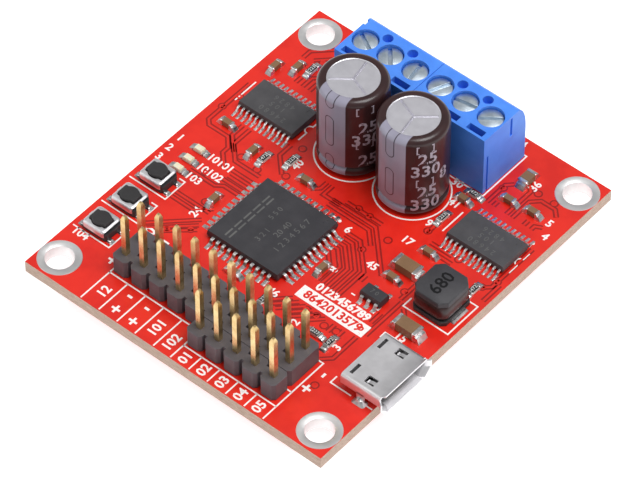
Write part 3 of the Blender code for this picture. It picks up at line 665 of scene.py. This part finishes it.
def buildTerminal():
    low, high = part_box("terminal_housing")
    axis = middle("terminal_screw_1")
    back, front = low.y / mm - axis[1], high.y / mm - axis[1]
    x0, x1 = low.x / mm - axis[0], high.x / mm - axis[0]
    floor, roof = low.z / mm, high.z / mm
    rim = roof - boardTop
    crown = [(3.97, 5.0), (3.93, 5.7), (3.82, 6.5), (3.62, 7.2), (3.36, 7.8), (3.04, 8.25), (2.72, rim)]
    section = [(back, floor), (front, floor)] + [(y, boardTop + z) for y, z in crown] + [(back, roof)]
    body = Shape().loft([[Vector((x, y, z)) for y, z in section] for x in (x0, x1)])
    tool = Shape()
    for index in range(terminal["poles"]):
        x = index * terminal["pitch"]
        tool.box((x - 1.4, -1.6, boardTop + 0.6), (x + 1.4, 1.6, boardTop + 7.1))
        tool.box((x - 1.3, 1.0, boardTop + 0.9), (x + 1.3, front + 1, boardTop + 3.7))
        tool.box((x - 1.1, -2.9, boardTop - 1), (x + 1.1, -1.2, boardTop + 4.4))
        tool.box((x - 1.1, -2.9, boardTop + 4.0), (x + 1.1, -2.1, roof + 1))
        tool.rod(1.12, boardTop + 6.5, boardTop + 8.0, 32, (x, 0))
        tool.rod(1.53, boardTop + 7.5, roof + 1, 48, (x, 0))
        if index not in (terminal["poles"] // 2 - 1, terminal["poles"] - 1):
            tool.rod(terminal["probeR"], boardTop + 7.3, roof + 1, 28, (x + terminal["pitch"] / 2, 1.7))
    seam = 2.5 * terminal["pitch"]  # the two halves of the block meet here
    for lowY, highY, lowZ in ((back - 1, front + 1, roof - 0.2), (back - 1, back + 0.2, floor - 1),
                              (front - 0.2, front + 1, floor - 1)):
        tool.box((seam - 0.03, lowY, lowZ), (seam + 0.03, highY, roof + 1))
    tool.box((x1 - 0.22, 1.22, boardTop + 5.5), (x1 + 1, 1.57, boardTop + 8.2))
    tool.box((x1 - 0.22, -2.7, boardTop - 1), (x1 + 1, -2.45, boardTop + 5.5))
    tool.box((x0 - 1, 1.7, boardTop - 1), (x0 + 0.25, 2.4, roof + 1))
    body.cut(tool)
    look = Look("bluePlastic")
    cloud = look.noise(0.4, 3)
    grain = look.noise(11.0, 3, 0.6)
    shade = look.blend(cloud.rise(0.3, 0.75), terminal["blue"], terminal["pale"])
    blue = look.done(colour=shade, rough=0.36 + grain * 0.16,
                     normal=look.bump(grain + cloud * 0.3, 0.006, 0.5),
                     deep=terminal["deep"], deepSize=0.0006, shine=0.5)
    add("terminal_housing_shell", body, blue, at=(*axis, 0.0), bevel=0.07,
        stands=["terminal_housing"], smooth=25)
    zinc = screwLook()
    turns = (-30, -49, -79, 66, 10, 37)
    brass = tinLook("contactTin", (0.74, 0.71, 0.62), (0.55, 0.52, 0.44), 0.25)
    for index in range(terminal["poles"]):
        number = str(index + 1)
        spot = middle("terminal_screw_" + number)
        head, headR, shankR = boardTop + terminal["head"], terminal["headR"], terminal["shankR"]
        start = ((0.8, boardTop + 4.15), (shankR, boardTop + 4.35))
        thread = [(shankR - 0.12 * (k % 2), boardTop + 4.35 + 0.2 * k) for k in range(1, 14)]
        top = ((shankR, boardTop + 7.5), (headR - 0.02, boardTop + 7.53), (headR, head - 0.16),
               (headR - 0.04, head - 0.05), (headR - 0.14, head))
        screw = Shape().turned((*start, *thread, *top), 48)
        screw.cut(Shape().box((-2, -0.23, head - 0.5), (2, 0.23, head + 1)))
        add(f"terminal_screw_{number}_slotted", screw, zinc, at=(*spot, 0.0), turn=turns[index], bevel=0.035,
            body="screw_" + number, stands=["terminal_screw_" + number])
        fromFrame(f"terminal_clamp_{number}_cage", "terminal_clamp_" + number, tin, 0.05, "clamp_" + number)
        fromFrame(f"terminal_contact_{number}_bar", "terminal_contact_" + number, brass, 0.04, "board")
        joint = Shape().turned(((1.0, -0.01), (0.95, -0.12), (0.7, -0.4), (0.5, -0.9), (0.42, -1.2)), 24)
        add(f"terminal_solder_{number}", joint, tin, at=(spot[0], spot[1] - 2.5, 0.0))


buildTerminal()
print("screw terminal ready")


# electrolytic capacitors
can = {"radius": 4.0, "top": 12.0, "face": 2.93, "stripe": 1.85, "brown": (0.026, 0.010, 0.011),
       "lilac": (0.27, 0.26, 0.33)}


def sleeveLook(marks):
    look = Look("sleeveFilm_" + marks["name"])
    x, y, z = look.place()
    band = abs(x).fall(can["stripe"] - 0.04, can["stripe"] + 0.04) * y.fall(-0.2, 0.0)
    outline = None
    for low, high in marks["spans"]:
        along = z - z.least(high).most(low)
        gap = (x * x + along * along).root()
        ring = abs(gap - 0.55).fall(0.035, 0.08)
        outline = ring if outline is None else outline.most(ring)
    cloud = look.noise(0.3, 3)
    grain = look.noise(5.0, 3)
    brown = look.blend(cloud.rise(0.3, 0.7), can["brown"], (0.040, 0.015, 0.015))
    lilac = look.blend(cloud.rise(0.3, 0.7), can["lilac"], (0.31, 0.30, 0.38))
    printed = look.blend(outline * 0.9, lilac, (0.03, 0.02, 0.03))
    shade = look.blend(band, brown, printed)
    return look.done(colour=shade, rough=0.26 + grain * 0.10, coat=0.08 + cloud * 0.06, coatRough=0.1,
                     shine=0.35,
                     normal=look.bump(cloud + grain * 0.15, 0.03, 0.35))


def buildCapacitors():
    alloy = steelLook("canAluminium", (0.74, 0.73, 0.78), (0.68, 0.67, 0.72), 0.36)
    printing = mouldLook("sleevePrint", (0.38, 0.34, 0.40), (0.48, 0.44, 0.50), 0.35)
    rubber = mouldLook("sealRubber", (0.02, 0.02, 0.02), (0.04, 0.04, 0.04), 0.7)
    spans = {"1": ((11.1, 12.4), (5.2, 8.6), (1.4, 2.6)), "2": ((9.4, 12.2), (3.4, 6.4))}
    wraps = {"1": (("25", 4.5, 8.0), ("330", 4.3, 6.1), ("25", 4.5, 2.9)),
             "2": (("25", 4.4, 9.1), ("330", 4.2, 7.2), ("25", 4.4, 3.9), ("330", 4.2, 1.95),
                   ("8", 6.5, 5.7))}
    for number in "12":
        spot = middle("capacitor_sleeve_" + number)
        r, top, base = can["radius"], boardTop + can["top"], boardTop
        film = [(r - 0.12, base + 0.62), (3.72, base + 0.60), (3.72, base + 0.48), (r - 0.14, base + 0.50),
                (r, base + 0.72),
                (r, base + 1.25), (r - 0.07, base + 1.42), (r - 0.24, base + 1.58), (r - 0.24, base + 1.68),
                (r - 0.07, base + 1.84), (r, base + 2.02)]
        film += [(r - 0.78 + 0.78 * math.cos(a), top - 0.78 + 0.78 * math.sin(a))
                 for a in (math.radians(15 * k) for k in range(7))]
        face = can["face"]
        film += [(face + 0.1, top - 0.01), (face, top - 0.04), (face, top - 0.1), (3.2, top - 0.11),
                 (3.5, top - 0.2),
                 (3.74, top - 0.42), (r - 0.14, top - 0.8), (r - 0.14, base + 2.05), (r - 0.38, base + 1.63),
                 (r - 0.14, base + 1.2)]
        sleeve = Shape().turned(film, 96, closed=True)
        add(f"capacitor_{number}_sleeve", sleeve,
            sleeveLook({"name": number, "spans": [(base + a, base + b) for a, b in spans[number]]}),
            at=(*spot, 0.0), stands=["capacitor_sleeve_" + number])
        wall = r - 0.17
        metal = ((3.3, base + 2.2), (3.3, base + 0.68), (wall - 0.1, base + 0.68), (wall, base + 0.8),
                 (wall, base + 1.25),
                 (wall - 0.27, base + 1.58), (wall - 0.27, base + 1.68), (wall, base + 2.05),
                 (wall, top - 0.82),
                 (3.68, top - 0.45), (3.4, top - 0.24), (face, top - 0.13), (face - 0.08, top - 0.18))
        shell = Shape().turned(metal, 72)
        score = Shape()
        first = 100 if number == "1" else 40
        for k in range(3):
            angle = math.radians(first + 120 * k)
            way = Vector((math.cos(angle), math.sin(angle)))
            across = Vector((-way.y, way.x))
            rings = [[Vector((*(way * d + across * w), z)) for w, z in
                      ((0.0, top - 0.42), (0.22, top - 0.10), (-0.22, top - 0.10))] for d in (0.0, 2.68)]
            score.loft(rings)
        shell.cut(score)
        add(f"capacitor_{number}_can", shell, alloy, at=(*spot, 0.0),
            stands=["capacitor_can_" + number], smooth=30)
        fromFrame(f"capacitor_{number}_seal", "capacitor_seal_" + number, rubber, 0.05, "board")
        letters = Shape()
        for word, along, height in wraps[number]:
            letters.text(word, (along, base + height), 2.35, 0, -0.02, 0.012, wrap=r, weight=0.016)
        for height in (5.5, 10.75):
            letters.text("[    ]", (4.1, base + height), 1.25, 0, -0.02, 0.012, wrap=r, weight=0.012)
        add(f"capacitor_{number}_print", letters, printing, at=(*spot, 0.0))
        leads = Shape()
        for side in (-1, 1):
            leads.turned(((0.92, -0.01), (0.88, -0.1), (0.6, -0.35), (0.4, -0.8), (0.33, -1.1)), 20,
                         (0, side * 1.75))
        add(f"capacitor_{number}_solder", leads, tin, at=(*spot, 0.0))


buildCapacitors()
print("capacitors ready")


# push buttons
button = {"top": 1.45, "half": (1.6, 1.47), "wall": 1.33, "mouth": (1.24, 0.81), "mouthR": 1.13,
          "stem": (1.16, 0.73),
          "bossR": 1.05, "flange": (1.25, 1.0), "rise": ((0, 1.1), (0, 1.68), (0.08, 1.78))}


def buildButtons():
    dark = mouldLook("plungerPlastic", (0.018, 0.017, 0.018), (0.035, 0.033, 0.035), 0.45, 12.0, 0.01)
    for number in "123":
        spot = middle("button_base_" + number)
        top = boardTop + button["top"]
        stations = ((0.0, -0.85), (0.0, -0.30), (0.04, -0.14), (0.14, -0.04), (0.28, 0.0))
        halfX, halfY = button["half"]
        cover = Shape().loft([plate(halfX - i, halfY - i, top + z, corner=0.42 - i * 0.6, steps=6)
                              for i, z in stations])
        inside = ((0.0, -2.0), (0.0, -0.4), (0.06, -0.14))
        cover.cut(Shape().loft([plate(2.6, button["wall"] - i, top + z, corner=0.1) for i, z in inside]))
        mouth = Shape().stack(*button["mouth"], ((0, -0.6), (0, 1.0)), top, corner=0.2)
        mouth.cut(Shape().rod(button["mouthR"], top - 0.6, top + 1.0, 40), "UNION")
        cover.cut(mouth)
        add(f"button_{number}_cover", cover, steel, at=(*spot, 0.0), bevel=0.03,
            stands=["button_cover_" + number])
        stem = Shape().stack(*button["stem"], button["rise"], boardTop, corner=0.14)
        stem.cut(Shape().turned([(button["bossR"] - i, boardTop + z) for i, z in button["rise"]], 40),
                 "UNION")
        stem.cut(Shape().stack(*button["flange"], ((0, 0.99), (0, 1.18)), boardTop), "UNION")
        add(f"button_{number}_plunger", stem, dark, at=(*spot, 0.0), bevel=0.03, body="plunger_" + number,
            stands=["button_plunger_" + number], smooth=30)
        fromFrame(f"button_{number}_base", "button_base_" + number, blackPlastic, 0.03, "board")
        fromFrame(f"button_{number}_dome", "button_dome_" + number, steel, 0.0, "board")
        feet = Shape()
        for sx in (-1, 1):
            for sy in (-1, 1):
                x, y = sx * 1.95, sy * 0.85
                feet.stack(0.34, 0.36, ((0, -0.01), (0, 0.04)), boardTop, (x + sx * 0.12, y), 0.1)
                feet.stack(0.26, 0.30, ((0, 0.03), (0.04, 0.2), (0.12, 0.27)), boardTop, (x, y), 0.08)
        add(f"button_{number}_feet", feet, tin, at=(*spot, 0.0))


buildButtons()
print("buttons ready")


# micro USB socket
socket = {"sheet": 0.25, "lip": 0.6, "flare": 0.45, "halves": (3.75, 2.75), "floor": 0.15, "roof": 2.6,
          "belt": 1.2, "corner": 0.45, "contacts": 5, "contactPitch": 0.65}


def usbRing(inset, x, flare=0.0, steps=4):
    floor, roof = boardTop + socket["floor"], boardTop + socket["roof"]
    wide, narrow = socket["halves"][0] - inset + flare, socket["halves"][1] - inset * 0.6 + flare
    top, bottom = roof - inset + flare, floor + inset - min(flare, 0.1)
    corner = max(0.12, socket["corner"] - inset * 0.8)
    points = [(narrow, bottom), (wide, boardTop + socket["belt"] + inset * 0.2)]
    for k in range(steps + 1):
        angle = math.radians(90 * k / steps)
        points.append((wide - corner + corner * math.cos(angle), top - corner + corner * math.sin(angle)))
    mirrored = [(-y, z) for y, z in reversed(points)]
    return [Vector((x, y, z)) for y, z in points + mirrored]


def buildUsb():
    low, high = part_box("usb_shell")
    x0, y0 = low.x / mm, (low.y + high.y) / 2 / mm
    x2 = high.x / mm
    x1 = x2 - socket["lip"]
    sheet, flare = socket["sheet"], socket["flare"]
    inner = [(sheet, x0 + sheet), (sheet, x1 - 0.05), (sheet, x1 + 0.15, 0.06), (sheet, x2, flare)]
    outer = [(0.02, x2, flare), (0.0, x1 + 0.2, 0.08), (0.0, x1), (0.0, x0)]
    shell = Shape().loft([usbRing(*station) for station in inner + outer])
    tool = Shape()
    for side in (-1, 1):
        tool.box((18.75, side * 2.43 - 0.5, boardTop + 2.0), (20.0, side * 2.43 + 0.5, boardTop + 3.5))
        tool.box((16.85, side * 2.22 - 0.75, boardTop + 2.0), (17.25, side * 2.22 + 0.75, boardTop + 3.5))
        for height in (0.0, 2.65):  # open corners of the flared lip
            tool.stack(0.7, 0.55, ((0, height - 0.5), (0, height + 0.5)), boardTop, (x1 + 0.8, side * 3.9))
    shell.cut(tool)
    for side in (-1, 1):
        spring = ((19.98, 2.46), (19.5, 2.40), (19.1, 2.22), (18.95, 2.3))
        path = [Vector((x, side * 2.43, boardTop + z)) for x, z in spring]
        shell.sweep(path, ((-0.22, -0.06), (0.22, -0.06), (0.22, 0.06), (-0.22, 0.06)), Vector((0, 1, 0)))
        shell.box((18.45, side * 3.64 - 0.11, 0.0), (19.45, side * 3.64 + 0.11, boardTop + 1.4))
    add("usb_socket_shell", shell, steel, at=(0.0, y0, 0.0), bevel=0.04,
        stands=["usb_shell"], smooth=30)
    fromFrame("usb_socket_insulator", "usb_insulator", blackPlastic, 0.05, "board")
    middleContact = (socket["contacts"] - 1) / 2
    rows = [y0 + (k - middleContact) * socket["contactPitch"] for k in range(socket["contacts"])]
    contacts = Shape()
    for y in rows:
        contacts.box((17.9, y - 0.16, boardTop + 1.17), (20.9, y + 0.16, boardTop + 1.21))
    add("usb_socket_contacts", contacts, gold, bevel=0.01)
    solder = Shape()
    for side in (-1, 1):
        centre = (18.95, y0 + side * 3.78)
        solder.loft([plate(0.85 - i, 0.55 - i * 0.6, boardTop + z, centre, 0.3) for i, z in
                     ((0.0, -0.01), (0.05, 0.05), (0.28, 0.25), (0.45, 0.55), (0.6, 0.62))])
        solder.loft([plate(0.85 - i, 0.5 - i * 0.5, z, centre, 0.3)
                     for i, z in ((0.0, 0.01), (0.1, -0.1), (0.45, -0.3))])
    for y in rows:
        solder.box((15.6, y - 0.17, boardTop - 0.01), (16.6, y + 0.17, boardTop + 0.1))
    add("usb_socket_solder", solder, tin, bevel=0.03)


buildUsb()
print("socket ready")


# packages with gull-wing leads
chips = {"lead": 0.075, "draft": 0.09}


def leadAt(shape, solder, edge, out, reach, halfWidth, mid):
    side = Vector((-out.y, out.x, 0.0))
    path = [(-0.2, mid), (0.16 * reach, mid), (0.30 * reach, mid - 0.04), (0.42 * reach, mid - 0.18),
            (0.52 * reach, 0.22), (0.62 * reach, 0.12), (0.74 * reach, 0.10), (reach, 0.10)]
    points = [edge + out * d + Vector((0, 0, boardTop + h)) for d, h in path]
    t = chips["lead"]
    shape.sweep(points, ((-halfWidth, -t), (halfWidth, -t), (halfWidth, t), (-halfWidth, t)), side)
    centre = edge + out * (reach * 0.88)
    halfX, halfY = (abs(a) * reach * 0.5 + abs(b) * halfWidth * 1.35 for a, b in zip(out[:2], side[:2]))
    solder.stack(halfX, halfY, ((0, -0.01), (0.02, 0.03), (0.06, 0.05)), boardTop, centre[:2])


def buildPackage(node, halfX, halfY, low, high, sides, dimple, etched, mould):
    spot = Vector((*middle(node), 0.0))
    midHeight = (low + high) / 2 - 0.05
    stations = ((chips["draft"], low), (0.0, midHeight - 0.05), (0.0, midHeight + 0.05),
                (chips["draft"], high))
    body = Shape().stack(halfX, halfY, stations, boardTop)
    if dimple:
        body.cut(Shape().rod(dimple[2], boardTop + high - 0.05, boardTop + high + 1, 28, dimple[:2]))
    add(node + "_body", body, mould, at=spot, bevel=0.05, stands=[node], smooth=20)
    leads, solder = Shape(), Shape()
    for out, count, pitch, reach, halfWidth in sides:
        out = Vector((*out, 0.0))
        edge = out * (abs(out.x) * halfX + abs(out.y) * halfY)
        for index in range(count):
            along = Vector((-out.y, out.x, 0.0)) * (index - (count - 1) / 2) * pitch
            leadAt(leads, solder, spot + edge + along, out, reach, halfWidth, midHeight)
    add(node + "_leads", leads, tin, bevel=0.02)
    add(node + "_pads", solder, tin)
    marks = Shape()
    for word, x, y, size, turn in etched:
        marks.text(word, (x, y), size, turn, boardTop + high - 0.01, boardTop + high + 0.006)
    add(node + "_marks", marks, etch, at=spot)


etch = mouldLook("laserMark", (0.085, 0.085, 0.085), (0.13, 0.13, 0.125), 0.6, 12.0, 0.01)


def buildPackages():
    four = [(out, 11, 0.8, 1.0, 0.18) for out in ((1, 0), (-1, 0), (0, 1), (0, -1))]
    marks = [("1 2 3 4 5 6 7", 2.5, 0.3, 1.1, 90), ("20 40", 1.2, 0.3, 1.1, 90),
             ("5 5 0", -0.9, 1.6, 0.95, 90),
             ("=====", -2.6, -0.6, 2.6, 90), ("3 2 1", 0.0, -1.6, 1.0, 90)]
    buildPackage("controller_chip", 5.0, 5.0, 0.12, 1.12, four, (4.1, 4.1, 0.35), marks, chipBlack)
    dusty = mouldLook("dustyCompound", (0.048, 0.046, 0.050), (0.075, 0.072, 0.076), 0.5, 14.0, 0.01)
    both = [(out, 12, 0.65, 1.05, 0.12) for out in ((0, 1), (0, -1))]
    marks = [("4 8 2 6", 0.2, 0.9, 1.0, 180), ("1 0 5", 0.0, -0.1, 1.0, 180),
             ("2 4 6 8 0", 0.2, -1.2, 1.0, 180)]
    for number in "12":
        buildPackage("driver_chip_" + number, 3.9, 2.2, 0.12, 1.05, both, (3.2, 1.5, 0.3), marks, dusty)
    five = [((0, -1), 3, 0.95, 0.62, 0.2), ((0, 1), 2, 1.9, 0.62, 0.2)]
    buildPackage("regulator_chip", 1.45, 0.8, 0.1, 1.15, five, None, [("7 0", 0, 0, 0.8, 0)], chipBlack)


buildPackages()
print("packages ready")


# chip resistors and capacitors: position, turn, kind
smallChips = [(-18.67, 14.34, 90, "c"), (-16.68, 15.83, 90, "c"), (-15.3, 16.64, 90, "r"),
              (-17.11, 4.52, 0, "c"),
              (-12.33, 3.24, 90, "c"), (-10.78, 3.3, 90, "r"), (-8.21, 4.9, 90, "r"), (-5.14, 3.7, 0, "c"),
              (-10.96, -4.72, 90, "c"), (12.96, 19.36, 90, "b"), (13.33, 15.74, 0, "c"),
              (16.36, 16.01, 0, "c"),
              (9.48, 12.65, 0, "c"), (9.9, 14.0, 0, "r"), (9.42, 9.27, 90, "r"), (11.46, 4.38, 0, "c"),
              (10.73, -0.82, 0, "c"), (18.38, 3.52, 90, "r"), (4.27, -4.64, 90, "c"),
              (11.49, -11.93, 90, "r"),
              (9.5, -11.91, 0, "r"), (-2.6, -11.2, 0, "c"), (2.3, -11.9, 90, "r")]
chipSizes = {"c": (1.6, 0.8, 0.75, 0.32), "r": (1.6, 0.8, 0.45, 0.28), "b": (2.0, 1.25, 0.9, 0.42),
             "bulk": (3.2, 1.6, 1.2, 0.5)}


def buildSmallChips():
    ceramic = mouldLook("tanCeramic", (0.19, 0.105, 0.05), (0.27, 0.155, 0.08), 0.4, 9.0, 0.01)
    coating = mouldLook("resistorGlaze", (0.014, 0.014, 0.016), (0.03, 0.03, 0.032), 0.3, 12.0, 0.004)
    alumina = mouldLook("alumina", (0.62, 0.60, 0.56), (0.72, 0.70, 0.66), 0.5, 12.0, 0.008)
    marks = mouldLook("resistorMark", (0.72, 0.72, 0.70), (0.80, 0.80, 0.78), 0.5)
    random.seed(12)
    places = [(x, y, turn, kind, None) for x, y, turn, kind in smallChips]
    places += [(*middle("bulk_chip_capacitor_" + n), 0, "bulk", "bulk_chip_capacitor_" + n) for n in "12"]
    for index, (x, y, turn, kind, node) in enumerate(places):
        length, width, height, end = chipSizes[kind]
        base = boardTop + 0.04
        skew = random.uniform(-1.5, 1.5) if node is None else 0.0
        resistor = kind == "r"
        core = Shape()
        inset = 0.03
        rings = [[Vector((px, py * (width / 2 - inset), base + pz)) for py, pz in
                  ((-1, inset), (1, inset), (1, height - inset), (-1, height - inset))]
                 for px in (0.05 - length / 2, length / 2 - 0.05)]
        core.loft(rings)
        if resistor:
            core.finish = 1
            core.box((end - length / 2, 0.04 - width / 2, base + height - 0.04),
                     (length / 2 - end, width / 2 - 0.04, base + height))
        name = node + "_body" if node else f"chip_{'resistor' if resistor else 'capacitor'}_{index + 1}"
        add(name, core, [alumina, coating] if resistor else [ceramic], at=(x, y, 0), turn=turn + skew,
            bevel=0.04,
            stands=[node] if node else ())
        ends = Shape()
        for side in (-1, 1):
            outer, inner = side * length / 2, side * (length / 2 - end)
            cap = ((0.06, 0.0), (0.0, 0.06), (0.0, height - 0.06), (0.07, height + 0.005))
            ends.stack(abs(outer - inner) / 2, width / 2, cap, base, ((outer + inner) / 2, 0), 0.1, 2)
            fillet = [plate(0.28 + i, width * 0.46 + i * 0.3, base + z, (side * (length / 2 + 0.1), 0),
                            0.08, 2)
                      for i, z in ((0.18, -0.045), (0.16, 0.0), (0.05, 0.16), (-0.12, height * 0.55))]
            ends.loft(fillet)
        add(name.replace("_body", "") + "_ends", ends, tin, at=(x, y, 0), turn=turn + skew)
        if resistor:
            code = Shape().text("472" if index % 2 else "223", (0, 0), 0.62, 0, base + height - 0.005,
                                base + height + 0.012)
            add(name + "_code", code, marks, at=(x, y, 0), turn=turn + skew)


def buildLights():
    base = mouldLook("lightBase", (0.62, 0.58, 0.48), (0.72, 0.68, 0.58), 0.5)
    look = Look("lightLens")
    cloud = look.noise(2.0, 3)
    grain = look.noise(8.0, 3)
    cream = look.blend(cloud.rise(0.3, 0.7), (0.74, 0.66, 0.46), (0.82, 0.78, 0.62))
    lens = look.done(colour=cream, rough=0.28 + grain * 0.2, deep=0.25, deepSize=0.0004,
                     normal=look.bump(grain, 0.01, 0.4))
    for number in "123":
        spot = middle("indicator_light_" + number)
        low = boardTop + 0.03
        body = Shape().box((-0.8, -0.4, low), (0.8, 0.4, low + 0.25))
        body.finish = 1
        dome = ((0, 0.24), (0.03, 0.5), (0.10, 0.57))
        body.loft([plate(0.56 - i, 0.4 - i * 0.8, low + z, corner=0.05) for i, z in dome])
        add(f"indicator_light_{number}_body", body, [base, lens], at=(*spot, 0), bevel=0.03,
            stands=["indicator_light_" + number])
        ends = Shape()
        for side in (-1, 1):
            ends.stack(0.13, 0.4, ((0, 0.0), (0, 0.29)), low, (side * 0.72, 0), 0.05)
            fillet = ((0.05, -0.04), (0.03, 0.0), (-0.12, 0.14))
            ends.loft([plate(0.30 + i, 0.42, low + z, (side * 0.95, 0), 0.1) for i, z in fillet])
        add(f"indicator_light_{number}_ends", ends, tin, at=(*spot, 0))


inductor = {"half": (2.3, 2.45), "top": 3.5, "cut": 0.8, "mark": 2.15}


def buildInductor():
    ferrite = mouldLook("ferriteCap", (0.040, 0.039, 0.044), (0.062, 0.060, 0.066), 0.5, 9.0, 0.02, 0.35)
    resin = mouldLook("windingResin", (0.020, 0.007, 0.007), (0.04, 0.013, 0.012), 0.3, 2.5, 0.05)
    spot = middle("inductor_core")
    hx, hy = inductor["half"]
    stations = ((0.3, 0.63), (0.2, 0.93), (0.35, 1.08), (0.30, 2.55), (0.0, 2.75), (0.0, 3.32), (0.05, 3.44),
                (0.14, inductor["top"]))
    core = Shape().loft([cutPlate(hx - i, hy - i, inductor["cut"] - i * 0.6, boardTop + z)
                         for i, z in stations])
    add("inductor_ferrite", core, ferrite, at=(*spot, 0), bevel=0.03,
        stands=["inductor_core"], smooth=40)
    bulge = ((0.16, 0.75), (0.05, 1.0), (0.0, 1.5), (0.03, 2.1), (0.12, 2.6), (0.3, 2.74))
    add("inductor_resin", Shape().stack(hx, hy, bulge, boardTop, corner=0.95, steps=5), resin, at=(*spot, 0),
        stands=["inductor_winding"], smooth=60)
    base = Shape().loft([cutPlate(hx, hy, 0.5, boardTop + z) for z in (0.03, 0.6)])
    add("inductor_foot", base, blackPlastic, at=(*spot, 0), bevel=0.06,
        stands=["inductor_base"])
    pads = Shape()
    for side in (-1, 1):
        pads.stack(0.75, 1.3, ((0, -0.01), (0.02, 0.05), (0.2, 0.3)), boardTop, (side * 2.0, 0), 0.15)
    add("inductor_pads", pads, tin, at=(*spot, 0))
    face = boardTop + inductor["top"]
    mark = Shape().text("680", (0.0, 0.0), inductor["mark"], 90, face - 0.01, face + 0.015, weight=0.015)
    soot = mouldLook("ferriteMark", (0.012, 0.012, 0.013), (0.020, 0.019, 0.021), 0.8, 9.0, 0.01, 0.08)
    add("inductor_mark", mark, soot, at=(*spot, 0))


def buildUnderside():
    for index, x in enumerate((-15.6, -9.4, 9.6, 15.8)):
        spot = (x, 8.6, 0.0)
        stations = ((0.15, -1.0), (0.0, -0.9), (0.0, -0.25), (0.05, -0.03))
        body = Shape().stack(2.5, 3.0, stations)
        add(f"power_package_{index + 1}", body, chipBlack, at=spot, bevel=0.05)
        pads = Shape()
        for k in range(4):
            for side in (-1, 1):
                centre = ((k - 1.5) * 1.27, side * 3.05)
                pads.stack(0.3, 0.42, ((0, 0.01), (0.02, -0.06), (0.1, -0.2)), 0.0, centre)
        add(f"power_package_{index + 1}_pads", pads, tin, at=spot)


buildSmallChips()
buildLights()
buildInductor()
buildUnderside()
print("small parts ready")


# stage: pale floor, soft studio light and the camera
stage = {"azimuth": 40.371, "elevation": 49.038, "distance": 520.34, "aim": (1.329, -1.57, 1.6),
         "lens": 273.62}


def buildStage():
    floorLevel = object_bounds()[0][2]
    data = bpy.data.meshes.new("floor")
    size = 3.0
    data.from_pydata([(-size, -size, 0), (size, -size, 0), (size, size, 0), (-size, size, 0)], [],
                     [(0, 1, 2, 3)])
    floor = bpy.data.objects.new("floor", data)
    floor.location.z = floorLevel
    look = Look("paleFloor")
    data.materials.append(look.done(colour=(0.6, 0.6, 0.6), rough=0.8, shine=0.2, glow=(1.0, 1.0, 1.0),
                                    glowPower=0.8))
    bpy.context.scene.collection.objects.link(floor)
    world = bpy.data.worlds.new("studio")
    bpy.context.scene.world = world
    world.use_nodes = True
    world.node_tree.nodes["Background"].inputs["Color"].default_value = (1.0, 1.0, 1.0, 1.0)
    world.node_tree.nodes["Background"].inputs["Strength"].default_value = 0.44
    for name, spot, size, power in (("key", (0.28, 0.10, 0.85), 0.45, 6.4),
                                    ("fill", (-0.5, -0.35, 0.45), 0.5, 0.9)):
        lamp = bpy.data.lights.new(name, "AREA")
        lamp.size, lamp.energy = size, power
        holder = bpy.data.objects.new(name, lamp)
        holder.location = spot
        holder.rotation_mode = "QUATERNION"
        holder.rotation_quaternion = (-Vector(spot)).to_track_quat("-Z", "Y")
        bpy.context.scene.collection.objects.link(holder)
    azimuth, elevation = math.radians(stage["azimuth"]), math.radians(stage["elevation"])
    back = Vector((math.sin(azimuth) * math.cos(elevation), -math.cos(azimuth) * math.cos(elevation),
                   math.sin(elevation)))
    camera = bpy.data.objects.new("camera", bpy.data.cameras.new("camera"))
    camera.data.lens, camera.data.sensor_width = stage["lens"], 36.0
    camera.data.clip_start, camera.data.clip_end = 0.01, 10.0
    camera.location = (Vector(stage["aim"]) + back * stage["distance"]) * mm
    camera.rotation_mode = "QUATERNION"
    camera.rotation_quaternion = (-back).to_track_quat("-Z", "Y")
    bpy.context.scene.collection.objects.link(camera)
    bpy.context.scene.camera = camera
    bpy.context.scene.view_settings.view_transform = "Standard"


buildStage()
print("stage ready")
